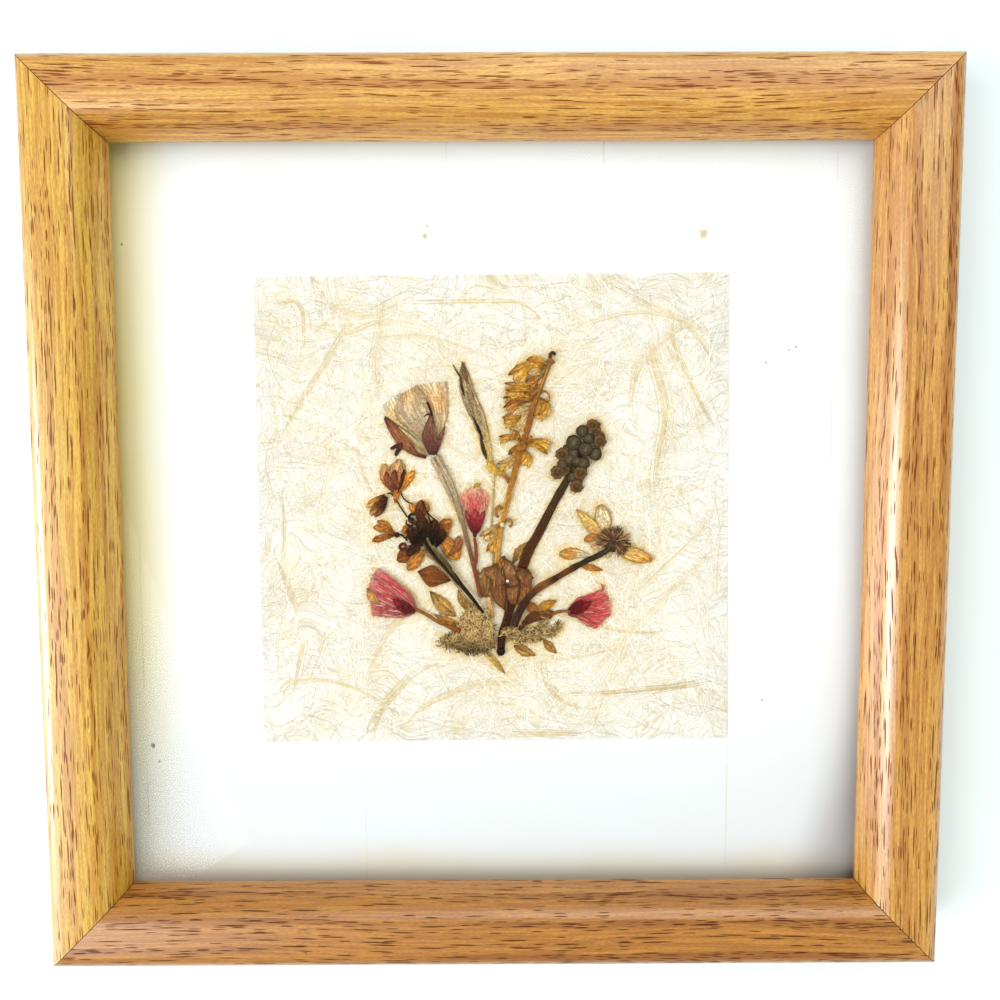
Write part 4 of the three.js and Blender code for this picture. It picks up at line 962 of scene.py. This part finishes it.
parts = [blade("-11.2,-15.6 -13.8,-13.2 -16.2,-11.7 -19.9,-13.2",
               "-11.2,-15.8 -13.6,-16.7 -17.0,-17.3 -19.9,-13.5",
               "#572D15 #7A4621 #874C23 #643419", 4, amber_pod, lift=0.15, crumple=0.08)]
for i, (off, shade) in enumerate([(-0.8, "#7A6640"), (-0.45, "#2F2113"), (-0.2, "#26190F"), (0.35, "#453520"),
                                  (0.5, "#291B11"), (0.8, "#937D4F")]):
    spread = off * np.linspace(1, 0.12, len(SHEAF))[:, None]
    parts.append(stalk(SHEAF + sideways(SHEAF) * spread, (0.6, 0.75, 0.7, 0.6, 0.5),
                       shade + " #2F2215 #20160F", 4, black_leaf, lift=0.25 + 0.1 * (i % 3), depth=0.42))
for route, width, tints, lift, skin in SPRAY:
    parts.append(leaf(route, width, PETAL, tints, 4, skin, lift=lift, cup=-0.06, crumple=0.08,
                      ragged=0.3 if skin is black_leaf else 0.08))
for route, widths, tints, lift in TWIGS:
    parts.append(stalk(route, widths, tints, 4, black_leaf, lift=lift, depth=0.42))
gather(parts, "brown_spray")


# ---------------------------------------------------------------- daisy
# A composite head pressed on its side: a bristling dark disc of dead florets, the few golden ray
# petals that stayed on, and a tough near-black stem with two amber stretches.
disc_floret = new_material("disc floret, dried dark brown", {"Roughness": 0.6, "Specular IOR Level": 0.3})
tone = node(disc_floret, "Attribute", {"attribute_name": "tone"}, {}, out=2)
mauve = node(disc_floret, "MapRange", SMOOTH, {0: tone, 1: 0.0, 2: 0.6})
sandy = node(disc_floret, "MapRange", SMOOTH, {0: tone, 1: 0.6, 2: 1.0})
color = node(disc_floret, "Mix", MIX, {0: mauve, 6: srgb("#2E1E12"), 7: srgb("#6E4A2C")}, out=2)
color = node(disc_floret, "Mix", MIX, {0: sandy, 6: color, 7: srgb("#B8905A")}, out=2)
finish_surface(disc_floret, {"Base Color": color})

DISC = np.array([31.6, -5.6])
BRISTLES = 260
draw = np.random.default_rng(7)
paths, widths, tones = [], [], []
for _ in range(BRISTLES):
    turn = math.radians(draw.uniform(-75, 205))
    inner, outer = draw.uniform(0.2, 1.9), draw.uniform(2.6, 4.5)
    steps = np.linspace(inner, outer, 5)
    bend = turn + draw.normal(0, 0.14) * np.linspace(0, 1, 5)
    flat = DISC + steps[:, None] * np.column_stack([np.cos(bend) * 1.08, np.sin(bend)])
    top = resting(flat, 4) + draw.uniform(0.1, 0.9) + 0.2 * np.linspace(0, 1, 5) ** 2
    paths.append(np.column_stack([flat, top]) * mm)
    widths.append(draw.uniform(0.24, 0.42) * mm)
    tones.append(draw.beta(1.7, 1.2))
bristles = strands("daisy_disc", paths, widths, tones, 0.6)
bristles.data.materials.append(disc_floret)
paint(bristles, np.zeros(len(bristles.data.vertices)), "#452B1B")

calyx = pressed("bract, dried grey brown", "#453827", 9, 0.6, "#322617", 0.5, 0.6, 0.4)
parts = [
    leaf("28.4,-4.4 25.4,-1.0 21.8,3.0", 3.2, (0.35, 0.75, 1.0, 0.95, 0.7, 0.4, 0.05),
         "#E0A970 #E5BA6B #E5C774 #E5BF65", 4, golden_petal, lift=0.1, cup=0.12, margin="#D7A356"),
    leaf("29.4,-2.4 28.9,0.4 28.0,4.1", 4.3, (0.5, 0.85, 1.0, 1.0, 0.9, 0.65, 0.25),
         "#DCC690 #E6D8A8 #E8DAB0 #E0C284", 4, golden_petal, lift=0.04, margin="#9A6A34"),
    leaf("29.2,-4.6 26.6,-4.4 23.9,-5.3", 2.2, PETAL, "#9B623E #C68344 #B37039", 4, golden_petal, lift=0.2,
         cup=0.2, ragged=0.1),
    leaf("30.2,-7.0 27.6,-7.2 25.6,-6.6", 1.5, PETAL, "#E0AE79 #E5C297 #E5AF6D", 4, golden_petal, lift=0.1,
         cup=0.1),
    leaf("32.2,-7.4 36.0,-8.8 41.9,-10.5", 3.9, (0.3, 0.7, 0.9, 1.0, 0.95, 0.7, 0.2),
         "#E5C293 #E5BF72 #E5B765 #E49D43", 4, golden_petal, lift=0.1, cup=0.14, margin="#BC7D35", pleats=2),
    leaf("31.0,-8.0 30.4,-9.0 29.4,-9.4", 1.6, PETAL, "#D8B078 #DDBC84 #CFA468", 4, golden_petal, lift=0.05),
    leaf("30.6,-6.6 28.6,-5.2 26.4,-4.4", 2.2, LEAF, "#63512D #A1854E #B89A58", 4, calyx, lift=0.5),
    leaf("30.8,-6.6 29.8,-4.6 28.8,-2.4", 2.2, LEAF, "#63512D #937842 #AF8A48", 4, calyx, lift=0.62),
    leaf("31.2,-6.8 31.6,-4.8 31.8,-2.8", 2.0, LEAF, "#45381F #634F27 #7C5F2F", 4, calyx, lift=0.72),
    bead(31.6, -5.4, 2.9, "#453C2B #452F1F #39271B", 4, calyx, lift=0.02, frill=0.05, dimple=0.1,
         squash=0.16),
    stalk("31.2,-6.2 30.2,-7.6 28.0,-9.0 25.0,-10.4 22.1,-11.9 19.6,-13.3 17.4,-14.6 "
          "15.0,-16.0 12.4,-17.4 10.4,-18.9 8.6,-20.9 7.2,-23.3 6.0,-26.0 5.3,-28.2",
          (1.5, 1.5, 1.6, 1.7, 1.9, 2.0, 2.1, 1.9),
          "#373125 #3D3829 #322D1F #372719 #3E2416 #7A441F #36201A "
          "#8A5426 #6E421F #3D2619 #372219 #43261B #321F19",
          4, fleshy_stem, lift=0.3, depth=0.36),
    bristles,
]
gather(parts, "daisy")


# ---------------------------------------------------------------- pink flowers
# Two globe-thistle style blooms pressed flat: crimped tissue-thin petals that run from a maroon
# base to a crimson rim, streaked along every crease with paler pink.
crimson_petal = pressed("crimped petal, dried crimson", "#FFC2AE", 11, 0.9, "#7E101C", 0.45, 0.45, 0.5)
parts = [
    blade("19.4,-23.6 22.0,-20.8 25.2,-19.5 28.8,-18.4", "19.5,-24.3 23.5,-23.2 27,-22.4 30.5,-20.6",
          "#560A0E #741015 #A61A22 #B9232C #C22E35", 5, crimson_petal, lift=0.06, pleats=4, margin="#E0635C",
          ragged=0.25),
    blade("19.5,-24.0 24,-22.6 27.6,-21.4 30.9,-21.0", "19.6,-24.8 24,-25.4 27.6,-25.8 30.9,-25.4",
          "#560A0E #7E1018 #AE1B26 #B7212B #C12C34", 5, crimson_petal, lift=0.2, pleats=5, margin="#E06C66",
          ragged=0.25),
    blade("19.6,-24.4 24,-24.8 27.4,-25.2 30.6,-25.0", "19.6,-25.2 22.4,-26.2 24.8,-28.0 27.4,-28.7",
          "#560A0E #750E15 #A51A22 #B9222B #C02A32", 5, crimson_petal, lift=0.34, pleats=4, margin="#E0635C",
          ragged=0.25),
    leaf("19.4,-24.2 22.4,-23.2 26.0,-21.6", 3.4, LEAF, "#4E1414 #6A1418 #882025", 5, maroon_sepal, lift=0.4,
         crumple=0.06),
    leaf("28.6,-18.9 29.0,-17.8 28.2,-16.6", 0.7, LEAF, "#D43747 #E05D66", 5, crimson_petal, lift=0.1),
    stalk("20.6,-24.2 18.4,-24.0 16.4,-24.4 15.0,-25.0", (0.7, 0.8, 1.0), "#A16833 #8E5829", 5, tan_stem,
          lift=0.1),
    leaf("6.8,-28.8 9.8,-26.0 13.0,-25.0 16.2,-24.6", 2.9, (0.3, 0.45, 0.8, 1.0, 1.0, 0.85, 0.3),
         "#3D2619 #57361B #6A4421 #81562B", 5, brown_leaf, lift=0.14, cup=-0.3, crumple=0.06),
    leaf("11.2,-23.9 13.6,-22.6 16.7,-21.2", 2.6, LEAF, "#A16F2F #C38C3A #A16A2B", 5, amber_leaf),
]
gather(parts, "pink_flower_right")
parts = [
    blade("-20.2,-22.4 -21.4,-19.6 -24.8,-16.4 -27.6,-14.2 -30.4,-12.3",
          "-20.6,-23.4 -24,-20.4 -27.5,-17.6 -30,-15.8 -32.0,-14.4",
          "#670E14 #A11922 #B81E2E #C02935 #C03A3F", 5, crimson_petal, lift=0.3, pleats=4, margin="#CE7D77",
          ragged=0.06),
    blade("-20.6,-23 -24.5,-19.8 -28,-17.2 -30.6,-15.6 -32.2,-14.8",
          "-20.6,-24 -24.5,-23.4 -28.5,-22.0 -31,-20.6 -33.3,-19.0",
          "#5C0E14 #8D1921 #A6222C #B12D34 #B83E3F", 5, crimson_petal, lift=0.14, pleats=5, margin="#CE7D76",
          ragged=0.06),
    blade("-20.6,-23.6 -24,-21.8 -28,-20.2 -31,-19.4 -33.0,-19.0",
          "-20.8,-24.6 -23.5,-25.6 -26.5,-25.7 -29,-25.4 -32.0,-25.1",
          "#550F13 #7B1C21 #96292C #9B2E32 #A9403E", 5, crimson_petal, lift=0.02, pleats=6, margin="#CE7D74",
          ragged=0.06),
    leaf("-20.6,-23.8 -23.4,-22.8 -26.6,-20.6", 3.2, LEAF, "#511515 #63181B #8C262A", 5, maroon_sepal,
         lift=0.44, crumple=0.07),
    leaf("-30.2,-21.6 -32.0,-20.2 -33.3,-17.6", 2.2, LEAF, "#BA8546 #DAA75E #764A2A", 5, brown_leaf,
         lift=0.3),
    stalk("-20.8,-23.2 -18.0,-24.6 -14.8,-26.6 -11.8,-27.9 -8.6,-29.2", (0.9, 1.0, 1.1, 1.3),
          "#874D22 #A46628 #995922 #7B4720", 5, tan_stem),
]
gather(parts, "pink_flower_left")


# ---------------------------------------------------------------- moss
# A pinch of dry moss glued over the foot of the bundle and a sprig laid to its right: curled
# straw-colored threads over a dark olive mat, browner at its foot where it held soil.
dry_moss = new_material("moss, dried to straw and olive", {"Roughness": 0.8, "Specular IOR Level": 0.25})
tone = node(dry_moss, "Attribute", {"attribute_name": "tone"}, {}, out=2)
olive = node(dry_moss, "MapRange", SMOOTH, {0: tone, 1: 0.0, 2: 0.5})
straw = node(dry_moss, "MapRange", SMOOTH, {0: tone, 1: 0.45, 2: 1.0})
color = node(dry_moss, "Mix", MIX, {0: olive, 6: srgb("#32220C"), 7: srgb("#8B7042")}, out=2)
color = node(dry_moss, "Mix", MIX, {0: straw, 6: color, 7: srgb("#D5B473")}, out=2)
finish_surface(dry_moss, {"Base Color": color})
TUFT = as_places("-14.4,-32.2 -10.8,-29.4 -8.9,-26.6 -7.4,-23.6 -5.2,-22.0 -2.5,-23.8 -0.7,-25.7 "
                "0.6,-27.9 0.4,-31.9 0.1,-34.0 -3.4,-35.3 -7.6,-35.2 -11.1,-34.0")


def inside(place, ring):
    """Whether a place lies within a closed ring of points."""
    hit = False
    for (ax, ay), (bx, by) in zip(ring, np.roll(ring, 1, axis=0)):
        if (ay > place[1]) != (by > place[1]):
            hit ^= place[0] < (bx - ax) * (place[1] - ay) / (by - ay) + ax
    return hit


def tangle(route, reach, count, layer, pile, shades, draw):
    """Curled threads scattered along a route, or over the whole tuft when there is none."""
    paths, widths, tones = [], [], []
    while len(paths) < count:
        if route is None:
            start = draw.uniform(TUFT.min(axis=0), TUFT.max(axis=0))
            if not inside(start, TUFT):
                continue
            inward = TUFT.mean(axis=0) - start
            turn = math.atan2(inward[1], inward[0]) + draw.normal(0, 1.1)
        else:
            spine = curve(route, 40)
            at = draw.integers(0, 39)
            aim = spine[at + 1] - spine[at]
            turn = math.atan2(aim[1], aim[0]) + draw.choice([-1, 1]) * draw.uniform(0.3, 1.1)
            start = spine[at] + draw.normal(0, 0.15, 2)
        line = curl(start, turn, draw.uniform(*reach), draw.normal(0, 2.6), draw, 8)
        up = np.sin(np.linspace(0, math.pi, 9)) * draw.uniform(0.1, 0.5)
        high = draw.random()
        paths.append(np.column_stack([line, resting(line, layer) + high * pile + up]) * mm)
        widths.append(draw.uniform(0.16, 0.34) * mm)
        tones.append(np.clip(draw.normal(shades[0] + (shades[1] - shades[0]) * high, 0.16), 0, 1))
    return paths, widths, tones


draw = np.random.default_rng(23)
paths, widths, tones = tangle(
    None, reach=(1.0, 2.6), count=1500, layer=2, pile=0.6, shades=(0.12, 0.95), draw=draw,
)
tones = [tone * np.interp(path[0][1], (-34.5 * mm, -31 * mm), (0.35, 1)) for path, tone in zip(paths, tones)]
tuft = strands("moss", paths, widths, tones, 0.5)
tuft.data.materials.append(dry_moss)
place_on_root(tuft, "moss_tuft_dry", ["moss_tuft"])
# The way each arm runs, in mm, and how many threads it has
SPRIGS = [
    ("2.5,-28.6 7.5,-30.4 12.5,-30.6 15.6,-29.4 17.6,-27.6", 300),
    ("11.0,-30.4 12.6,-28.4 14.2,-25.8", 90),
    ("2.0,-30.2 6.5,-31.6 11.0,-31.2", 130),
    ("4.0,-29.4 6.6,-28.2 9.0,-28.4", 70),
]
paths, widths, tones = [], [], []
for route, count in SPRIGS:
    made = tangle(route, reach=(0.9, 2.2), count=count, layer=2, pile=0.3, shades=(0.2, 0.8), draw=draw)
    spine = curve(route, 14)
    made[0].append(np.column_stack([spine, resting(spine, 2) + 0.1]) * mm)
    made[1].append(0.55 * mm)
    made[2].append(0.1)
    paths, widths, tones = paths + made[0], widths + made[1], tones + made[2]
sprig = strands("moss", paths, widths, tones, 0.5)
sprig.data.materials.append(dry_moss)
place_on_root(sprig, "moss_sprig_dry", ["moss_sprig"])


# ---------------------------------------------------------------- juice stains
# Pressing squeezed juice out of the plants, so the tissue has yellowed in a narrow tide round
# them. Once stained, the sheet gets its thickness, down from its face.
PAPER_THICKNESS = 0.09 * mm
STAIN_WIDTH = 1.2 * mm
HALO_WIDTH = 4.5 * mm
plants = [piece for piece in bpy.data.objects if piece.name.endswith(("_pressed", "_dry"))]
touched = np.vstack([points_of(piece)[::5, :2] for piece in plants])
tree = KDTree(len(touched))
for i, (x, y) in enumerate(touched):
    tree.insert((x, y, 0), i)
tree.balance()
face = points_of(sheet)[:, :2]
near = np.array([tree.find((x, y, 0))[2] for x, y in face])
uneven = 1 + 0.45 * ripple(face[:, 0], face[:, 1], 9 * mm, 12)
tide = 0.6 * np.exp(-((near / STAIN_WIDTH) ** 2)) + 0.16 * np.exp(-((near / HALO_WIDTH) ** 2)) * uneven
sheet.data.attributes["stain"].data.foreach_set("value", np.clip(tide, 0, 1))
add_modifier(sheet, "SOLIDIFY", {"thickness": PAPER_THICKNESS, "offset": -1})
place_on_root(sheet, "mulberry_paper_sheet", ["mulberry_paper"])


# ---------------------------------------------------------------- oak rails
# Four lengths of oak moulding with a round outer shoulder, a broad crown and a long round nose
# down to the picture, mitred at the corners, glued and pinned, and given a clear satin varnish.
SIDE = 2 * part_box("rail_right")[1].x
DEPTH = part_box("rail_top")[1].z
RAIL_WIDTH = 18.6 * mm
RABBET = 6.4 * mm
LIP = 10.8 * mm
LIP_EDGE = 0.6 * mm
SHOULDER = 4 * mm
CROWN_END = 12.4 * mm
CROWN_FALL = 1 * mm
NOSE_HANDLE = 2.6 * mm
MITRE_GAP = 0.16 * mm
BACK_ROUND = 0.7 * mm
ARC_STEPS = 12


def arc(centre, radius, start, end, steps):
    turns = [math.radians(start + (end - start) * i / steps) for i in range(steps + 1)]
    return [(centre[0] + radius * math.cos(t), centre[1] + radius * math.sin(t)) for t in turns]


def moulding_section():
    """The section of the oak: distance in from the outer side, and height over the back."""
    inner = RAIL_WIDTH - RABBET
    top = DEPTH - CROWN_FALL
    lip, handle = (RAIL_WIDTH, LIP + LIP_EDGE), (RAIL_WIDTH - NOSE_HANDLE, DEPTH - 2 * CROWN_FALL)
    nose = []
    for i in range(ARC_STEPS + 1):
        t = i / ARC_STEPS
        pulls = zip(lip, handle, (CROWN_END, top))
        nose.append(tuple((1 - t) ** 2 * a + 2 * t * (1 - t) * b + t**2 * c for a, b, c in pulls))
    back = arc((BACK_ROUND, BACK_ROUND), BACK_ROUND, 180, 270, 4)
    shoulder = arc((SHOULDER, DEPTH - SHOULDER), SHOULDER, 90, 180, ARC_STEPS)
    return [*back, (inner, 0), (inner, LIP), (RAIL_WIDTH, LIP), *nose, *shoulder]


def grain_cells(length, width):
    """The scale that gives a pattern cells of this length and width in mm, along the grain."""
    return 1 / (length * mm), 1 / (width * mm), 1 / (width * mm)


def oak(name, turn, shift, shades, ring):
    """Clear varnished oak: grain along the rail, ring bands, and open pores as thin brown dashes."""
    varnish = {"Coat Roughness": 0.34, "Coat IOR": 1.65, "Specular IOR Level": 0.08}
    wood = new_material(name, varnish)
    here = node(wood, "TexCoord", {}, {}, out=3)
    grain = node(wood, "Mapping", {}, {0: here, 1: shift, 2: (0, 0, turn)})
    broad = node(wood, "VectorMath", TIMES, {0: grain, 1: (9, 45, 45)})
    sway = node(wood, "TexNoise", {}, {"Vector": broad, "Scale": 1, "Detail": 2}, out=1)
    sway = node(wood, "VectorMath", LESS, {0: sway, 1: (0.5, 0.5, 0.5)})
    log = node(wood, "VectorMath", SCALE_AND_ADD, {0: sway, 1: (0, 7 * mm, 7 * mm), 2: grain})
    inputs = {"Vector": log, "Scale": 0.314 / (ring * mm), "Distortion": 1.2, "Detail": 3.0}
    waves = {"wave_type": "RINGS", "rings_direction": "X", "wave_profile": "SAW"}
    rings = node(wood, "TexWave", waves, {**inputs, "Detail Scale": 0.5}, out=1)
    early = node(wood, "MapRange", SMOOTH, {0: rings, 1: 0.1, 2: 0.42, 3: 1.0, 4: 0.0})
    patch = node(wood, "VectorMath", TIMES, {0: grain, 1: (18, 120, 120)})
    patch = node(wood, "TexNoise", {}, {"Vector": patch, "Scale": 1, "Detail": 3})
    patch = node(wood, "MapRange", SMOOTH, {0: patch, 1: 0.34, 2: 0.6, 3: 0.3, 4: 1.0})
    dense = node(wood, "Math", TIMES, {0: early, 1: patch})
    strand = node(wood, "VectorMath", TIMES, {0: log, 1: grain_cells(42, 0.8)})
    strand = node(wood, "TexNoise", {}, {"Vector": strand, "Scale": 1, "Detail": 5, "Roughness": 0.7})
    strand = node(wood, "MapRange", SMOOTH, {0: strand, 1: 0.39, 2: 0.62})
    color = node(wood, "Mix", MIX, {0: strand, 6: srgb(shades[0]), 7: srgb(shades[1])}, out=2)
    fleck = node(wood, "VectorMath", TIMES, {0: grain, 1: grain_cells(1.2, 0.3)})
    fleck = node(wood, "TexNoise", {}, {"Vector": fleck, "Scale": 1, "Detail": 3, "Roughness": 0.6})
    fleck = node(wood, "MapRange", {}, {0: fleck, 1: 0.3, 2: 0.7, 3: 0.76, 4: 1.17})
    color = node(wood, "VectorMath", TIMES, {0: color, 1: fleck})
    haze = node(wood, "MapRange", SMOOTH, {0: dense, 1: 0.25, 2: 0.9, 3: 0.0, 4: 0.68})
    color = node(wood, "Mix", MIX, {0: haze, 6: color, 7: srgb(shades[2])}, out=2)
    depth = 0.0
    # Two sizes of pore: its cell's length and width in mm, its radius in cells, and how many cells
    # hold one out in the pale wood and in the dense bands
    PORES = [(17.0, 0.66, 0.31, 0.62, 0.9), (5.5, 0.36, 0.42, 0.14, 1.0)]
    for length, width, radius, fewest, most in PORES:
        cells = node(wood, "VectorMath", TIMES, {0: log, 1: grain_cells(length, width)})
        away = node(wood, "TexVoronoi", {}, {"Vector": cells, "Scale": 1, "Randomness": 1})
        lot = node(wood, "SeparateColor", {}, {0: away.node.outputs[1]})
        share = node(wood, "MapRange", {}, {0: dense, 3: fewest, 4: most})
        drawn = node(wood, "Math", {"operation": "LESS_THAN"}, {0: lot, 1: share})
        pore = node(wood, "MapRange", SMOOTH, {0: away, 1: radius, 2: 0.6 * radius, 3: 0.0, 4: 0.92})
        pore = node(wood, "Math", TIMES, {0: pore, 1: drawn})
        color = node(wood, "Mix", MIX, {0: pore, 6: color, 7: srgb(shades[3])}, out=2)
        depth = node(wood, "Math", {"operation": "MAXIMUM"}, {0: pore, 1: depth})
    rough = node(wood, "MapRange", {}, {0: depth, 3: 0.34, 4: 0.6})
    film = node(wood, "MapRange", {}, {0: depth, 3: 1.0, 4: 0.0})
    height = node(wood, "Math", SCALE_AND_ADD, {0: depth, 1: -1, 2: strand})
    relief = node(wood, "Bump", {}, {"Height": height, "Distance": 0.1 * mm, "Strength": 0.6})
    finish_surface(wood, {"Base Color": color, "Roughness": rough, "Coat Weight": film, "Normal": relief})
    return wood


def rail(side, quarter):
    """Extrudes the section along one side, then saws both ends at 45 degrees."""
    deselect()
    section = moulding_section()
    bpy.ops.mesh.primitive_circle_add(vertices=len(section), fill_type="NGON")
    piece = bpy.context.object
    set_points(piece, [(-SIDE / 2, inward - SIDE / 2, height) for inward, height in section])
    bpy.ops.object.mode_set(mode="EDIT")
    bpy.ops.mesh.select_all(action="SELECT")
    bpy.ops.mesh.extrude_region_move(TRANSFORM_OT_translate={"value": (SIDE, 0, 0)})
    bpy.ops.mesh.select_all(action="SELECT")
    bpy.ops.mesh.normals_make_consistent(inside=False)
    for end in (-1, 1):
        bpy.ops.mesh.select_all(action="SELECT")
        saw = (end * (SIDE / 2 - MITRE_GAP / math.sqrt(2)), -SIDE / 2, 0)
        bpy.ops.mesh.bisect(plane_co=saw, plane_no=(end, 1, 0), use_fill=True, clear_outer=True)
    bpy.ops.mesh.select_all(action="SELECT")
    bpy.ops.mesh.normals_make_consistent(inside=False)
    bpy.ops.object.mode_set(mode="OBJECT")
    piece.data.transform(Matrix.Rotation(quarter * math.pi / 2, 4, "Z"))
    bpy.ops.object.shade_smooth_by_angle(angle=math.radians(32))
    return piece


# Deep and pale strands, ring haze and pores. The four rails are lit and shaded copies of one oak:
# the bottom rail is painted browner and the right deeper as painted shade, and the left more golden as a
# painted warm light. Each has its own place off the heart of the tree and its own ring spacing, in mm.
PALE_OAK = ("#BA7E2A", "#D8A448", "#B0701E", "#74380C")
SHADED_BROWN_OAK = ("#A0641A", "#BA7E2C", "#8A4E12", "#4E2408")
WARM_LIT_GOLDEN_OAK = ("#BE8620", "#DCB03E", "#B67A1E", "#74380C")
SHADED_DEEP_OAK = ("#B07428", "#CE9A42", "#A4661C", "#6C320C")
LIT_AND_SHADED_RAILS = [
    ("bottom", SHADED_BROWN_OAK, (20, 34), 7.0), ("right", SHADED_DEEP_OAK, (27, 40), 6.5),
    ("top", PALE_OAK, (34, 39.6), 10.5), ("left", WARM_LIT_GOLDEN_OAK, (41, 40), 5.0),
]
for quarter, (side, shades, (aside, below), ring) in enumerate(LIT_AND_SHADED_RAILS):
    piece = rail(side, quarter)
    pith = (0.31 * quarter, aside * mm, below * mm)
    wood = oak(f"varnished oak, {side} rail", -quarter * math.pi / 2, pith, shades, ring)
    piece.data.materials.append(wood)
    place_on_root(piece, "oak_rail_" + side, ["rail_" + side])


# ---------------------------------------------------------------- glass
# One pane of 2 mm picture glass, dropped in against the back of the lip. Its bloomed faces mirror
# half a percent of what meets them square and much more at a slant; the rest goes straight through.
mirror = {"Base Color": srgb("#FDFEFD"), "Metallic": 1.0, "Roughness": 0.0}
pane = new_material("coated picture glass", mirror)
slant = node(pane, "LayerWeight", {}, {0: 0.5}, out=1)
slant = node(pane, "Math", {"operation": "POWER"}, {0: slant, 1: 5.0})
mirrored = node(pane, "MapRange", {}, {0: slant, 3: 0.005, 4: 1.0})
finish_surface(pane, {"Alpha": mirrored})
surface_of("glass", pane)


# ---------------------------------------------------------------- back: board, points and hanger
# Pressed brown hardboard behind the card, eight flat steel points shot into the rabbet to hold it,
# and a strap with a triangle ring, riveted to the board and zinc plated like the points.
hardboard = new_material("hardboard, pressed smooth side", {"Specular IOR Level": 0.3})
here = node(hardboard, "TexCoord", {}, {}, out=3)
inputs = {"Vector": here, "Scale": 1 / (1.6 * mm), "Detail": 5, "Roughness": 0.7}
chips = node(hardboard, "TexNoise", {}, inputs)
patch = node(hardboard, "TexNoise", {}, {"Vector": here, "Scale": 1 / (30 * mm), "Detail": 3})
chips = node(hardboard, "MapRange", SMOOTH, {0: chips, 1: 0.35, 2: 0.68})
color = node(hardboard, "Mix", MIX, {0: chips, 6: srgb("#5E3F26"), 7: srgb("#85603C")}, out=2)
patch = node(hardboard, "MapRange", SMOOTH, {0: patch, 1: 0.35, 2: 0.7, 3: 0.0, 4: 0.35})
color = node(hardboard, "Mix", MIX, {0: patch, 6: color, 7: srgb("#4A3120")}, out=2)
rough = node(hardboard, "MapRange", {}, {0: chips, 3: 0.42, 4: 0.6})
relief = node(hardboard, "Bump", {}, {"Height": chips, "Distance": 0.05 * mm, "Strength": 0.4})
finish_surface(hardboard, {"Base Color": color, "Roughness": rough, "Normal": relief})

# Zinc plate: dull bluish metal that is cloudier and whiter where it has oxidised
zinc = new_material("steel, zinc plated and dulled", {"Metallic": 1.0})
here = node(zinc, "TexCoord", {}, {}, out=3)
bloom = node(zinc, "TexNoise", {}, {"Vector": here, "Scale": 1 / (2.5 * mm), "Detail": 4, "Roughness": 0.65})
bloom = node(zinc, "MapRange", SMOOTH, {0: bloom, 1: 0.38, 2: 0.65})
color = node(zinc, "Mix", MIX, {0: bloom, 6: srgb("#A9AEB2"), 7: srgb("#C9CBC8")}, out=2)
rough = node(zinc, "MapRange", {}, {0: bloom, 3: 0.26, 4: 0.52})
finish_surface(zinc, {"Base Color": color, "Roughness": rough})
for name in frame["nodes"]:
    if name.startswith(("framers_point", "hanger")):
        surface_of(name, zinc)
surface_of("backing_board", hardboard)


# ---------------------------------------------------------------- studio
# A pale table top, soft daylight from the lower left and an even pale surround. The sash shows
# only in gloss, as on the varnish.
TABLE_SIDE = 6
TABLE_GAP = 0.2 * mm
deselect()
bpy.ops.mesh.primitive_plane_add(size=TABLE_SIDE, location=(0, 0, -TABLE_GAP))
floor = bpy.context.object
floor.name = "table_top"
paint = new_material("matte white paint", {"Roughness": 0.7, "Specular IOR Level": 0.3})
here = node(paint, "TexCoord", {}, {}, out=3)
rolled = node(paint, "TexNoise", {}, {"Vector": here, "Scale": 3, "Detail": 3})
color = node(paint, "Mix", MIX, {0: rolled, 6: srgb("#E9F7F5"), 7: srgb("#EFFAF8")}, out=2)
finish_surface(paint, {"Base Color": color})
floor.data.materials.append(paint)


def softbox(name, place, size, power, tint):
    """A square soft lamp turned to the middle of the frame."""
    bpy.ops.object.light_add(type="AREA", location=place)
    lamp = bpy.context.object
    lamp.name = name
    lamp.data.size = size
    lamp.data.energy = power
    lamp.data.color = tint
    lamp.rotation_euler = (-Vector(place)).to_track_quat("-Z", "Y").to_euler()


# Each lamp's place and side in metres, its power in watts and its tint
LAMPS = [
    ("window", (-0.9, -0.3, 0.92), 1.0, 14.5, (0.98, 0.985, 1.0)),
    ("ceiling", (0.3, 0.85, 1.05), 1.2, 11.5, (0.94, 0.97, 1.08)),
    ("low window", (-1.0, -0.2, 0.42), 0.9, 2.8, (0.98, 0.98, 1.1)),
    ("bounce", (0.95, -0.55, 0.36), 0.9, 3.2, (1.0, 0.93, 0.55)),
    ("sash", (-0.95, -0.18, 0.4), 0.42, 13, (1.0, 0.98, 1.0)),
]
for name, place, size, power, tint in LAMPS:
    softbox(name, place, size, power, tint)
bpy.context.object.visible_diffuse = False

world = bpy.data.worlds.new("pale room")
world.use_nodes = True
fill(world, world.node_tree.nodes["Background"], {"Color": (0.445, 0.45, 0.445, 1), "Strength": 1.0})
bpy.context.scene.world = world
bpy.context.scene.view_settings.view_transform = "Standard"
